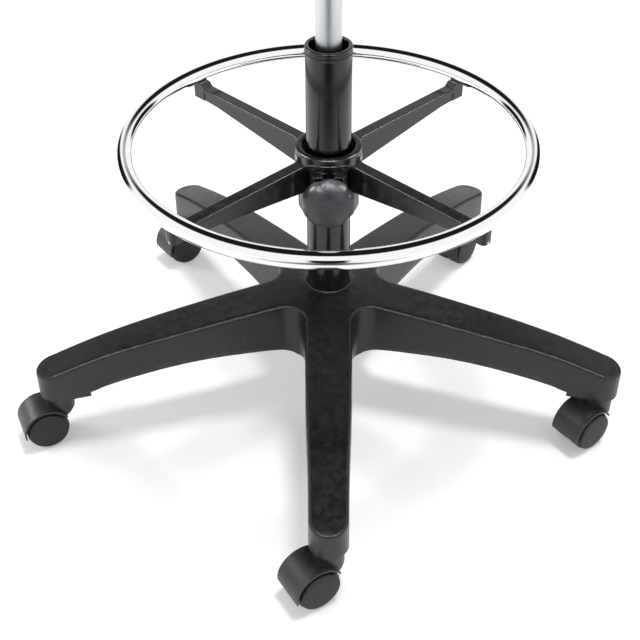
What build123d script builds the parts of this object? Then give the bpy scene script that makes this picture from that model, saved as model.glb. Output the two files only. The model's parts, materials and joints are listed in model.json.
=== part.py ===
from build123d import *
import os
from math import cos, hypot, radians, sin, tan

# Undercarriage of a drafting chair: a five-leg nylon base on hooded twin-wheel
# casters, a gas lift with its swivel bearing, and a foot ring that clamps on the
# lift column. Millimetres, +Z up, origin on the floor under the column axis,
# front leg towards -Y.

os.makedirs("parts", exist_ok=True)

# Clearances
press_gap = 0.05
running_gap = 0.08
seat_gap = 0.3
moving_gap = 0.5

# Casters: the trail angles are where each caster points at rest
caster_names = ["front", "right", "rear_right", "rear_left", "left"]
trail_angles = [212.0, 217.0, 231.0, 217.0, 205.0]
wheel_radius = 25.0
wheel_width = 19.0
wheel_rim_wall = 3.2
wheel_disc_wall = 3.0
wheel_hub_radius = 6.5
wheel_edge_radius = 2.5
axle_radius = 3.0
caster_trail = 22.0
hood_clearance = 1.4
hood_wall = 1.9
hood_half_width = 20.0
hood_rear_angle = -30.0
hood_front_angle = 152.0
hood_web = 4.0
axle_boss_radius = 6.5
axle_boss_width = 6.6
turret_radius = 16.5
turret_rise = 8.7
stem_radius = 5.5
stem_floor = 2.5
stem_grip_depth = 22.0
stem_collar_radius = 8.5
stem_collar_height = 3.1
grip_ring_height = 4.0
grip_ring_depth = 0.6
grip_ring_split = 40.0

# Star base
leg_count = 5
first_leg_angle = -90.0
stem_circle_radius = 335.0
leg_tip_radius = 21.0
leg_root_radius = 28.0
valley_radius = 25.0
leg_edge_radius = 2.0
leg_draft = 4.0
leg_wall = 3.6
leg_roof = 4.2
rib_wall = 3.0
tip_height = 36.0
knee_radius = 211.0
knee_height = 64.5
hub_height = 86.5
hub_top_slope = -0.08
tip_top_slope = -0.30
hub_floor_height = 12.5
arch_start_radius = 62.0
arch_crown_radius = 185.0
arch_crown_height = 24.5
arch_end_height = 5.5
lip_depth = 0.7
lip_height = 8.5
lip_root_height = 0.5
lip_end_radius = 288.0
lip_end_height = 17.0
lip_corner_radius = 6.0
socket_block_length = 56.0
socket_boss_radius = 10.5
hub_socket_radius = 33.0
hub_lip_radius = 27.0
hub_lip_height = 0.4
cross_rib_radii = [105.0, 150.0, 195.0, 240.0, 280.0]

# Gas lift
column_radius = 25.0
column_wall = 2.0
column_length = 366.0
column_bottom_rise = 2.0
column_floor = 3.0
cone_angle = 1.438
column_cap_height = 9.0
column_cap_lip = 0.4
column_cap_wall = 4.0
column_cap_skirt = 10.0
guide_length = 86.0
rod_radius = 5.0
rod_tail_radius = 4.0
rod_tail_drop = 6.5
clip_thickness = 1.2
clip_radius = 8.0
clip_groove = 1.0
washer_thickness = 1.5
washer_radius = 12.0
race_thickness = 1.5
race_radius = 13.0
ball_radius = 2.0
ball_circle_radius = 9.0
ball_count = 8
cage_thickness = 1.1
cage_wall = 3.0
bumper_height = 13.6
bumper_radius = 11.0
cylinder_radius = 14.0
cylinder_wall = 2.0
cylinder_length = 444.0
cylinder_end_wall = 2.0
lift_drop = 100.0
lift_rise = 120.0
cone_length = 60.0
cone_wall = 2.0
gland_length = 25.0
piston_length = 15.0
piston_spigot_radius = 3.5
piston_seal_height = 3.0
piston_seal_depth = 2.0
valve_length = 58.0
pin_radius = 2.5
pin_head_radius = 4.0
pin_head_height = 6.0
pin_depth = 30.0

# Foot ring
ring_radius = 222.0
ring_tube_radius = 9.5
ring_tube_wall = 1.6
ring_height = 341.0
arm_count = 4
first_arm_angle = 45.0
arm_width = 14.0
arm_flange = 4.0
arm_edge_radius = 0.8
arm_panel_depth = 0.9
arm_overhang = 4.0
arm_end_radius = 5.0
arm_tip_depth = 15.0
arm_root_depth = 34.5
arm_fillet = 16.0
web_taper_end = 188.0
web_taper_radius = 150.0
web_root_depth = 52.0
web_root_radius = 10.0
ring_seat_drop = 1.5
saddle_rise = 4.5
saddle_length = 21.0
saddle_slope = 5.0
hub_rim_radius = 37.5
hub_rim_height = 8.0
hub_recess_radius = 29.8
hub_recess_depth = 14.0
collar_radius = 34.5
collar_depth = 67.5
liner_wall = 3.0
liner_split = 2.5
liner_proud = 2.0
liner_flange = 5.0
liner_flange_height = 3.0
screw_radius = 2.4
screw_head_radius = 4.2
screw_head_height = 3.4
screw_reach = 5.0

# Foot ring clamp
clamp_drop = 34.0
boss_width = 37.0
boss_depth = 12.5
boss_top_drop = 8.0
boss_height = 52.0
boss_edge_radius = 4.0
boss_groove_offset = 9.3
boss_groove_width = 2.0
boss_groove_depth = 1.2
nut_width = 13.0
nut_thickness = 5.5
nut_front_wall = 4.0
window_width = 12.0
window_rise = 9.0
stud_radius = 4.0
stud_tip_radius = 3.0
stud_tip_length = 2.5
shoe_radius = 6.0
shoe_length = 5.5
knob_radius = 30.0
knob_thickness = 20.0
knob_gap = 3.0
knob_lobes = 5
knob_scallop_radius = 14.0
knob_scallop_depth = 2.0
knob_scallop_blend = 5.0
knob_front_edge = 6.0
knob_rear_edge = 3.0
knob_notch_angle = 108.5
knob_dish_radius = 170.0
knob_dish_depth = 1.2
knob_socket_depth = 14.0

# Heights and radii that follow from the sizes above
hood_radius = wheel_radius + hood_clearance + hood_wall
well_width = turret_radius + hood_half_width
caster_top_z = wheel_radius + hood_radius + turret_rise
leg_tip_z = caster_top_z + seat_gap + stem_collar_height
stem_bottom_z = wheel_radius + hood_radius - hood_wall - stem_floor
stem_top_z = leg_tip_z + stem_grip_depth
tip_end_radius = stem_circle_radius + leg_tip_radius
tip_top_z = leg_tip_z + tip_height
knee_z = leg_tip_z + knee_height
hub_top_z = leg_tip_z + hub_height
hub_floor_z = leg_tip_z + hub_floor_height
socket_start_radius = tip_end_radius - socket_block_length
column_bottom_z = hub_floor_z + column_bottom_rise
column_top_z = column_bottom_z + column_length
column_bore = column_radius - column_wall
cone_shrink = (hub_top_z - column_bottom_z) * tan(radians(cone_angle))
floor_top_z = column_bottom_z + column_floor
race_bore = rod_tail_radius + moving_gap
ball_z = floor_top_z + race_thickness + press_gap + ball_radius
upper_race_z = ball_z + ball_radius + press_gap
rod_shoulder_z = upper_race_z + race_thickness
bumper_top_z = rod_shoulder_z + seat_gap + bumper_height
cylinder_bottom_z = bumper_top_z + moving_gap + lift_drop
cylinder_top_z = cylinder_bottom_z + cylinder_length
cylinder_bore = cylinder_radius - cylinder_wall
gland_bottom_z = cylinder_bottom_z + cylinder_end_wall + press_gap
piston_bottom_z = gland_bottom_z + gland_length + lift_rise + moving_gap
cone_top_radius = cylinder_radius - cone_length * tan(radians(cone_angle))
cone_bore = cone_top_radius - cone_wall
guide_top_z = column_top_z - column_cap_skirt
spider_top_z = ring_height - ring_tube_radius - ring_seat_drop
arm_end = ring_radius + arm_overhang
collar_bottom_z = spider_top_z - collar_depth
liner_bore = column_radius + running_gap
liner_radius = liner_bore + liner_wall
liner_seat_z = collar_bottom_z - seat_gap
liner_top_z = spider_top_z - hub_recess_depth + liner_proud
clamp_z = spider_top_z - clamp_drop
boss_front = collar_radius + boss_depth
boss_top_z = spider_top_z - boss_top_drop
shoe_start = liner_radius + seat_gap
nut_back = boss_front - nut_front_wall - nut_thickness
knob_back = boss_front + knob_gap
knob_front = knob_back + knob_thickness
knob_scallop_circle = knob_radius + knob_scallop_radius - knob_scallop_depth


def polar_point(radius, angle):
    """Point on the floor at a radius and an angle round the column axis."""
    return (radius * cos(radians(angle)), radius * sin(radians(angle)))


def radial_plane(angle, origin=(0, 0, 0)):
    """Upright plane whose x axis runs outwards at an angle and whose y axis is +Z."""
    run = radians(angle)
    return Plane(origin=origin, x_dir=(cos(run), sin(run), 0), z_dir=(sin(run), -cos(run), 0))


# Plan of one leg, and of the star with rounded valleys between the legs
with BuildSketch() as leg_plan:
    Circle(leg_root_radius)
    with Locations((stem_circle_radius, 0)):
        Circle(leg_tip_radius)
    make_hull()

with BuildSketch() as star_plan:
    with PolarLocations(0, leg_count, start_angle=first_leg_angle):
        add(leg_plan.sketch)
    fillet(star_plan.vertices().filter_by(lambda v: hypot(v.X, v.Y) < knee_radius / 2), valley_radius)


def inner_prism(inset):
    """Prism of the star plan inside the drafted walls, set in from them by an amount."""
    with BuildPart() as prism:
        for plan_z in (leg_tip_z - leg_roof, hub_top_z):
            with BuildSketch(Plane.XY.offset(plan_z)):
                add(star_plan.sketch)
                offset(amount=(leg_tip_z - plan_z) * tan(radians(leg_draft)) - inset, mode=Mode.REPLACE)
        loft(ruled=True)
    return prism.part


def leg_profile(roof_drop, floor_margin):
    """Side outline of a leg: crowned top and arched underside, to be turned round the axis."""
    run_out = leg_wall
    end = tip_end_radius + run_out
    with BuildSketch(Plane.XZ) as outline:
        with BuildLine():
            crown = Spline(
                (0, hub_top_z - roof_drop),
                (knee_radius, knee_z - roof_drop),
                (end, tip_top_z - roof_drop),
                tangents=[(1, hub_top_slope), (1, tip_top_slope)],
            )
            Line(crown @ 1, (end, leg_tip_z - floor_margin))
            Line((end, leg_tip_z - floor_margin), (socket_start_radius, leg_tip_z - floor_margin))
            Line(
                (socket_start_radius, leg_tip_z - floor_margin),
                (socket_start_radius, leg_tip_z + arch_end_height - floor_margin),
            )
            ThreePointArc(
                (socket_start_radius, leg_tip_z + arch_end_height - floor_margin),
                (arch_crown_radius, leg_tip_z + arch_crown_height - floor_margin),
                (arch_start_radius, hub_floor_z - floor_margin),
            )
            Line((arch_start_radius, hub_floor_z - floor_margin), (0, hub_floor_z - floor_margin))
            Line((0, hub_floor_z - floor_margin), crown @ 0)
        make_face()
    return outline.sketch


# Outer form of the base with its rounded top edges, before it is hollowed
with BuildPart() as base_form:
    revolve(leg_profile(0, 0), axis=Axis.Z)
    with BuildSketch(Plane.XY.offset(leg_tip_z)):
        add(star_plan.sketch)
    extrude(amount=hub_height + hub_lip_height, taper=leg_draft, mode=Mode.INTERSECT)
    fillet(base_form.faces().sort_by(Axis.Z)[-1].outer_wire().edges(), leg_edge_radius)

# Hollow under the moulding
with BuildPart() as base_cavity:
    revolve(leg_profile(leg_roof, leg_roof), axis=Axis.Z)
    add(inner_prism(leg_wall), mode=Mode.INTERSECT)

# Shallow step along the lower edge of the leg walls
with BuildPart() as leg_lips:
    with BuildSketch(Plane.XZ) as lip_outline:
        with BuildLine():
            Line((arch_start_radius, 0), (lip_end_radius, 0))
            Line((lip_end_radius, 0), (lip_end_radius, leg_tip_z + lip_end_height))
            ThreePointArc(
                (lip_end_radius, leg_tip_z + lip_end_height),
                (arch_crown_radius, leg_tip_z + arch_crown_height + lip_height),
                (arch_start_radius, hub_floor_z + lip_root_height),
            )
            Line((arch_start_radius, hub_floor_z + lip_root_height), (arch_start_radius, 0))
        make_face()
        fillet(lip_outline.vertices().sort_by(Axis.X)[-2:].sort_by(Axis.Y)[-1], lip_corner_radius)
    revolve(axis=Axis.Z)
    add(base_form.part, mode=Mode.INTERSECT)
    add(inner_prism(lip_depth), mode=Mode.SUBTRACT)

# Ribs, caster sockets and column socket inside the hollow
with BuildPart() as base_ribs:
    with BuildSketch() as rib_plan:
        Circle(hub_socket_radius)
        with PolarLocations(stem_circle_radius, leg_count, start_angle=first_leg_angle):
            Circle(socket_boss_radius)
        with PolarLocations(0, leg_count, start_angle=first_leg_angle):
            Rectangle(stem_circle_radius, rib_wall, align=(Align.MIN, Align.CENTER))
        for rib_radius in cross_rib_radii:
            with PolarLocations(rib_radius, leg_count, start_angle=first_leg_angle):
                Rectangle(rib_wall, 2 * leg_root_radius)
    extrude(amount=hub_top_z)
    add(base_form.part, mode=Mode.INTERSECT)

with BuildPart() as star_base:
    add(base_form.part)
    add(base_cavity.part, mode=Mode.SUBTRACT)
    add(base_ribs.part)
    add(leg_lips.part, mode=Mode.SUBTRACT)
    with BuildSketch(Plane.XY.offset(hub_top_z - leg_roof)):
        Circle(hub_lip_radius)
    extrude(amount=leg_roof + hub_lip_height)
    with BuildSketch(Plane.XZ):
        with BuildLine():
            Polyline(
                (0, column_bottom_z - column_bottom_rise - moving_gap),
                (column_radius - cone_shrink + press_gap, column_bottom_z - column_bottom_rise - moving_gap),
                (column_radius - cone_shrink + press_gap, column_bottom_z),
                (column_radius + press_gap, hub_top_z),
                (column_radius + press_gap, hub_top_z + 2 * hub_lip_height),
                (0, hub_top_z + 2 * hub_lip_height),
                close=True,
            )
        make_face()
    revolve(axis=Axis.Z, mode=Mode.SUBTRACT)
    with BuildSketch(Plane.XY.offset(leg_tip_z)):
        with PolarLocations(stem_circle_radius, leg_count, start_angle=first_leg_angle):
            Circle(stem_radius + press_gap)
    extrude(amount=stem_grip_depth + seat_gap, mode=Mode.SUBTRACT)
star_base.part.label = "star_base"
export_step(star_base.part, "parts/star_base.step")

# Casters: one set of pieces at each leg tip
leg_angles = [first_leg_angle + 360 / leg_count * i for i in range(leg_count)]
groove_z = stem_top_z - 2 * grip_ring_height
for caster, leg_angle, trail_angle in zip(caster_names, leg_angles, trail_angles):
    stem_x, stem_y = polar_point(stem_circle_radius, leg_angle)
    trail_x, trail_y = polar_point(caster_trail, trail_angle)
    swivel = Plane(origin=(stem_x, stem_y, 0))
    side = radial_plane(trail_angle, (stem_x + trail_x, stem_y + trail_y, wheel_radius))
    axle_line = Axis(side.origin, side.z_dir)

    with BuildPart() as stem:
        with BuildSketch(swivel.offset(stem_bottom_z)):
            Circle(stem_radius)
        extrude(amount=stem_top_z - stem_bottom_z)
        with BuildSketch(swivel.offset(caster_top_z + seat_gap)):
            Circle(stem_collar_radius)
        extrude(amount=stem_collar_height)
        chamfer(stem.faces().sort_by(Axis.Z)[-1].edges(), grip_ring_depth)
        with BuildSketch(swivel.offset(groove_z)):
            Circle(stem_radius)
            Circle(stem_radius - grip_ring_depth, mode=Mode.SUBTRACT)
        extrude(amount=grip_ring_height, mode=Mode.SUBTRACT)
    stem.part.label = f"caster_{caster}_stem"
    export_step(stem.part, f"parts/caster_{caster}_stem.step")

    with BuildPart() as hood:
        with BuildSketch(side):
            Circle(hood_radius)
        extrude(amount=hood_half_width, both=True)
        with BuildSketch(swivel.offset(wheel_radius)):
            Circle(turret_radius)
        extrude(amount=caster_top_z - wheel_radius)
        for well_start in (hood_web / 2, -hood_web / 2 - well_width):
            with BuildSketch(side.offset(well_start)):
                Circle(wheel_radius + hood_clearance)
            extrude(amount=well_width, mode=Mode.SUBTRACT)
        with BuildSketch(side):
            with BuildLine():
                opening = CenterArc(
                    (0, 0), 2 * hood_radius, hood_front_angle, 360 + hood_rear_angle - hood_front_angle
                )
                Line(opening @ 1, (0, 0))
                Line((0, 0), opening @ 0)
            make_face()
        extrude(amount=well_width, both=True, mode=Mode.SUBTRACT)
        with BuildSketch(side):
            Circle(axle_boss_radius)
        extrude(amount=axle_boss_width / 2, both=True)
        with BuildSketch(side):
            Circle(axle_radius + press_gap)
        extrude(amount=hood_half_width, both=True, mode=Mode.SUBTRACT)
        with BuildSketch(swivel.offset(stem_bottom_z - seat_gap)):
            Circle(stem_radius + running_gap)
        extrude(amount=caster_top_z - stem_bottom_z + 2 * seat_gap, mode=Mode.SUBTRACT)
    hood.part.label = f"caster_{caster}_hood"
    export_step(hood.part, f"parts/caster_{caster}_hood.step")

    wheel_inner = axle_boss_width / 2 + seat_gap
    wheel_face = wheel_inner + wheel_width
    axle_half = wheel_face - wheel_disc_wall + moving_gap

    with BuildPart() as axle:
        with BuildSketch(side):
            Circle(axle_radius)
        extrude(amount=axle_half, both=True)
    axle.part.label = f"caster_{caster}_axle"
    export_step(axle.part, f"parts/caster_{caster}_axle.step")

    for wheel_side, outwards in (("a", 1), ("b", -1)):
        section = Plane(origin=side.origin, x_dir=side.z_dir * outwards, z_dir=side.x_dir * -outwards)
        with BuildPart() as wheel:
            with BuildSketch(section):
                with BuildLine():
                    Polyline(
                        (wheel_inner, axle_radius + running_gap),
                        (wheel_inner, wheel_hub_radius),
                        (wheel_face - wheel_disc_wall, wheel_hub_radius),
                        (wheel_face - wheel_disc_wall, wheel_radius - wheel_rim_wall),
                        (wheel_inner, wheel_radius - wheel_rim_wall),
                        (wheel_inner, wheel_radius),
                        (wheel_face - wheel_edge_radius, wheel_radius),
                    )
                    RadiusArc(
                        (wheel_face - wheel_edge_radius, wheel_radius),
                        (wheel_face, wheel_radius - wheel_edge_radius),
                        wheel_edge_radius,
                    )
                    Polyline(
                        (wheel_face, wheel_radius - wheel_edge_radius),
                        (wheel_face, 0),
                        (axle_half + seat_gap, 0),
                        (axle_half + seat_gap, axle_radius + running_gap),
                        (wheel_inner, axle_radius + running_gap),
                    )
                make_face()
            revolve(axis=axle_line)
        wheel.part.label = f"caster_{caster}_wheel_{wheel_side}"
        export_step(wheel.part, f"parts/caster_{caster}_wheel_{wheel_side}.step")

# Split rings that grip the caster stems in their sockets
with BuildPart() as stem_grip_rings:
    with BuildSketch(Plane.XY.offset(groove_z + press_gap)):
        with PolarLocations(stem_circle_radius, leg_count, start_angle=first_leg_angle):
            Circle(stem_radius)
            Circle(stem_radius - grip_ring_depth + press_gap, mode=Mode.SUBTRACT)
        with PolarLocations(stem_circle_radius + stem_radius, leg_count, start_angle=first_leg_angle):
            Rectangle(stem_radius, stem_radius * radians(grip_ring_split), mode=Mode.SUBTRACT)
    extrude(amount=grip_ring_height - 2 * press_gap)
stem_grip_rings.part.label = "stem_grip_rings"
export_step(stem_grip_rings.part, "parts/stem_grip_rings.step")

# Gas lift column: tube with a coned foot and a floor
with BuildPart() as column_tube:
    with BuildSketch(Plane.XZ):
        with BuildLine():
            Polyline(
                (race_bore, column_bottom_z),
                (column_radius - cone_shrink, column_bottom_z),
                (column_radius, hub_top_z),
                (column_radius, column_top_z),
                (column_bore, column_top_z),
                (column_bore, hub_top_z),
                (column_bore - cone_shrink, floor_top_z),
                (race_bore, floor_top_z),
                close=True,
            )
        make_face()
    revolve(axis=Axis.Z)
column_tube.part.label = "column_tube"
export_step(column_tube.part, "parts/column_tube.step")

# Collar ring on the column's mouth, with a skirt inside the tube
with BuildPart() as column_cap:
    with BuildSketch(Plane.XY.offset(column_top_z)):
        Circle(column_radius + column_cap_lip)
        Circle(column_radius - column_cap_wall, mode=Mode.SUBTRACT)
    extrude(amount=column_cap_height)
    chamfer(column_cap.faces().sort_by(Axis.Z)[-1].edges(), column_cap_lip)
    with BuildSketch(Plane.XY.offset(guide_top_z)):
        Circle(column_bore - press_gap)
        Circle(column_radius - column_cap_wall, mode=Mode.SUBTRACT)
    extrude(amount=column_cap_skirt)
column_cap.part.label = "column_cap"
export_step(column_cap.part, "parts/column_cap.step")

# Plastic guide that the lift cylinder slides and turns in
with BuildPart() as guide_bush:
    with BuildSketch(Plane.XY.offset(guide_top_z - guide_length)):
        Circle(column_bore - press_gap)
        Circle(cylinder_radius + running_gap, mode=Mode.SUBTRACT)
    extrude(amount=guide_length)
    chamfer(guide_bush.edges().sort_by(Axis.Z)[-2:].sort_by(SortBy.RADIUS)[0], column_wall / 2)
guide_bush.part.label = "guide_bush"
export_step(guide_bush.part, "parts/guide_bush.step")

# Thrust bearing on the column's floor
with BuildPart() as lower_race:
    with BuildSketch(Plane.XY.offset(floor_top_z)):
        Circle(race_radius)
        Circle(race_bore, mode=Mode.SUBTRACT)
    extrude(amount=race_thickness)
lower_race.part.label = "lower_race"
export_step(lower_race.part, "parts/lower_race.step")

with BuildPart() as thrust_balls:
    with Locations((0, 0, ball_z)):
        with PolarLocations(ball_circle_radius, ball_count):
            Sphere(ball_radius)
thrust_balls.part.label = "thrust_balls"
export_step(thrust_balls.part, "parts/thrust_balls.step")

with BuildPart() as ball_cage:
    with BuildSketch(Plane.XY.offset(ball_z - cage_thickness / 2)):
        Circle(ball_circle_radius + cage_wall)
        Circle(ball_circle_radius - cage_wall, mode=Mode.SUBTRACT)
        with PolarLocations(ball_circle_radius, ball_count):
            Circle(ball_radius + running_gap, mode=Mode.SUBTRACT)
    extrude(amount=cage_thickness)
ball_cage.part.label = "ball_cage"
export_step(ball_cage.part, "parts/ball_cage.step")

with BuildPart() as upper_race:
    with BuildSketch(Plane.XY.offset(upper_race_z)):
        Circle(race_radius)
        Circle(rod_tail_radius + press_gap, mode=Mode.SUBTRACT)
    extrude(amount=race_thickness)
upper_race.part.label = "upper_race"
export_step(upper_race.part, "parts/upper_race.step")

# Piston rod, held under the column's floor by a washer and a clip
clip_z = column_bottom_z - rod_tail_drop + clip_thickness
with BuildPart() as piston_rod:
    with BuildSketch(Plane.XY.offset(column_bottom_z - rod_tail_drop)):
        Circle(rod_tail_radius)
    extrude(amount=rod_shoulder_z - column_bottom_z + rod_tail_drop)
    with BuildSketch(Plane.XY.offset(rod_shoulder_z)):
        Circle(rod_radius)
    extrude(amount=piston_bottom_z - rod_shoulder_z)
    with BuildSketch(Plane.XY.offset(piston_bottom_z)):
        Circle(piston_spigot_radius)
    extrude(amount=piston_length)
    with BuildSketch(Plane.XY.offset(clip_z)):
        Circle(rod_tail_radius)
        Circle(rod_tail_radius - clip_groove, mode=Mode.SUBTRACT)
    extrude(amount=clip_thickness, mode=Mode.SUBTRACT)
piston_rod.part.label = "piston_rod"
export_step(piston_rod.part, "parts/piston_rod.step")

with BuildPart() as rod_clip:
    with BuildSketch(Plane.XY.offset(clip_z + press_gap)):
        Circle(clip_radius)
        Circle(rod_tail_radius - clip_groove + press_gap, mode=Mode.SUBTRACT)
        with Locations((clip_radius / 2, 0)):
            Rectangle(clip_radius + clip_groove, rod_tail_radius, mode=Mode.SUBTRACT)
    extrude(amount=clip_thickness - 2 * press_gap)
rod_clip.part.label = "rod_clip"
export_step(rod_clip.part, "parts/rod_clip.step")

with BuildPart() as rod_washer:
    with BuildSketch(Plane.XY.offset(column_bottom_z - seat_gap - washer_thickness)):
        Circle(washer_radius)
        Circle(rod_tail_radius + press_gap, mode=Mode.SUBTRACT)
    extrude(amount=washer_thickness)
rod_washer.part.label = "rod_washer"
export_step(rod_washer.part, "parts/rod_washer.step")

with BuildPart() as rubber_bumper:
    with BuildSketch(Plane.XY.offset(rod_shoulder_z + seat_gap)):
        Circle(bumper_radius)
        Circle(rod_radius + press_gap, mode=Mode.SUBTRACT)
    extrude(amount=bumper_height)
rubber_bumper.part.label = "rubber_bumper"
export_step(rubber_bumper.part, "parts/rubber_bumper.step")

seal_z = piston_bottom_z + (piston_length - piston_seal_height) / 2
with BuildPart() as piston:
    with BuildSketch(Plane.XY.offset(piston_bottom_z)):
        Circle(cylinder_bore - running_gap)
        Circle(piston_spigot_radius + press_gap, mode=Mode.SUBTRACT)
    extrude(amount=piston_length)
    with BuildSketch(Plane.XY.offset(seal_z)):
        Circle(cylinder_bore)
        Circle(cylinder_bore - piston_seal_depth, mode=Mode.SUBTRACT)
    extrude(amount=piston_seal_height, mode=Mode.SUBTRACT)
piston.part.label = "piston"
export_step(piston.part, "parts/piston.step")

with BuildPart() as piston_seal:
    with BuildSketch(Plane.XY.offset(seal_z + press_gap)):
        Circle(cylinder_bore - running_gap / 2)
        Circle(cylinder_bore - piston_seal_depth + press_gap, mode=Mode.SUBTRACT)
    extrude(amount=piston_seal_height - 2 * press_gap)
piston_seal.part.label = "piston_seal"
export_step(piston_seal.part, "parts/piston_seal.step")

# Lift cylinder: chrome tube that ends in the seat cone
cone_bottom_z = cylinder_top_z - cone_length
with BuildPart() as lift_cylinder:
    with BuildSketch(Plane.XZ):
        with BuildLine():
            Polyline(
                (rod_radius + moving_gap, cylinder_bottom_z),
                (cylinder_radius, cylinder_bottom_z),
                (cylinder_radius, cone_bottom_z),
                (cone_top_radius, cylinder_top_z),
                (cone_bore, cylinder_top_z),
                (cone_bore, cone_bottom_z - cone_wall),
                (cylinder_bore, cone_bottom_z - 2 * cone_wall),
                (cylinder_bore, cylinder_bottom_z + cylinder_end_wall),
                (rod_radius + moving_gap, cylinder_bottom_z + cylinder_end_wall),
                close=True,
            )
        make_face()
    revolve(axis=Axis.Z)
lift_cylinder.part.label = "lift_cylinder"
export_step(lift_cylinder.part, "parts/lift_cylinder.step")

with BuildPart() as rod_gland:
    with BuildSketch(Plane.XY.offset(gland_bottom_z)):
        Circle(cylinder_bore - press_gap)
        Circle(rod_radius + running_gap, mode=Mode.SUBTRACT)
    extrude(amount=gland_length)
rod_gland.part.label = "rod_gland"
export_step(rod_gland.part, "parts/rod_gland.step")

with BuildPart() as valve_body:
    with BuildSketch(Plane.XY.offset(cylinder_top_z - cone_wall - valve_length)):
        Circle(cone_bore - press_gap)
    extrude(amount=valve_length)
    with BuildSketch(Plane.XY.offset(cylinder_top_z - pin_depth - pin_head_height)):
        Circle(pin_radius + running_gap)
    extrude(amount=pin_depth + pin_head_height, mode=Mode.SUBTRACT)
valve_body.part.label = "valve_body"
export_step(valve_body.part, "parts/valve_body.step")

with BuildPart() as release_pin:
    with BuildSketch(Plane.XY.offset(cylinder_top_z - pin_depth)):
        Circle(pin_radius)
    extrude(amount=pin_depth + pin_head_height / 2)
    with BuildSketch(Plane.XY.offset(cylinder_top_z + pin_head_height / 2)):
        Circle(pin_head_radius)
    extrude(amount=pin_head_height)
    chamfer(release_pin.faces().sort_by(Axis.Z)[-1].edges(), pin_head_radius / 4)
release_pin.part.label = "release_pin"
export_step(release_pin.part, "parts/release_pin.step")

# Split liner between the column and the foot ring's hub
with BuildPart() as column_liner:
    with BuildSketch(Plane.XY.offset(liner_seat_z)):
        Circle(liner_radius)
    extrude(amount=liner_top_z - liner_seat_z)
    with BuildSketch(Plane.XY.offset(liner_seat_z)):
        Circle(liner_radius + liner_flange)
    extrude(amount=-liner_flange_height)
    with BuildSketch(Plane.XY.offset(liner_seat_z - liner_flange_height)):
        Circle(liner_bore)
        with Locations((0, liner_radius)):
            Rectangle(liner_split, 2 * (liner_wall + liner_flange))
    extrude(amount=liner_top_z - liner_seat_z + liner_flange_height, mode=Mode.SUBTRACT)
column_liner.part.label = "column_liner"
export_step(column_liner.part, "parts/column_liner.step")

# Foot ring, drilled underneath for its screws
arm_angles = [first_arm_angle + 360 / arm_count * i for i in range(arm_count)]
with BuildPart() as foot_ring:
    with BuildSketch(Plane.XZ):
        with Locations((ring_radius, ring_height)):
            Circle(ring_tube_radius)
            Circle(ring_tube_radius - ring_tube_wall, mode=Mode.SUBTRACT)
    revolve(axis=Axis.Z)
    with BuildSketch(Plane.XY.offset(ring_height - 2 * ring_tube_radius)):
        with PolarLocations(ring_radius, arm_count, start_angle=first_arm_angle):
            Circle(screw_radius + running_gap)
    extrude(amount=2 * ring_tube_radius, mode=Mode.SUBTRACT)
foot_ring.part.label = "foot_ring"
export_step(foot_ring.part, "parts/foot_ring.step")

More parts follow.
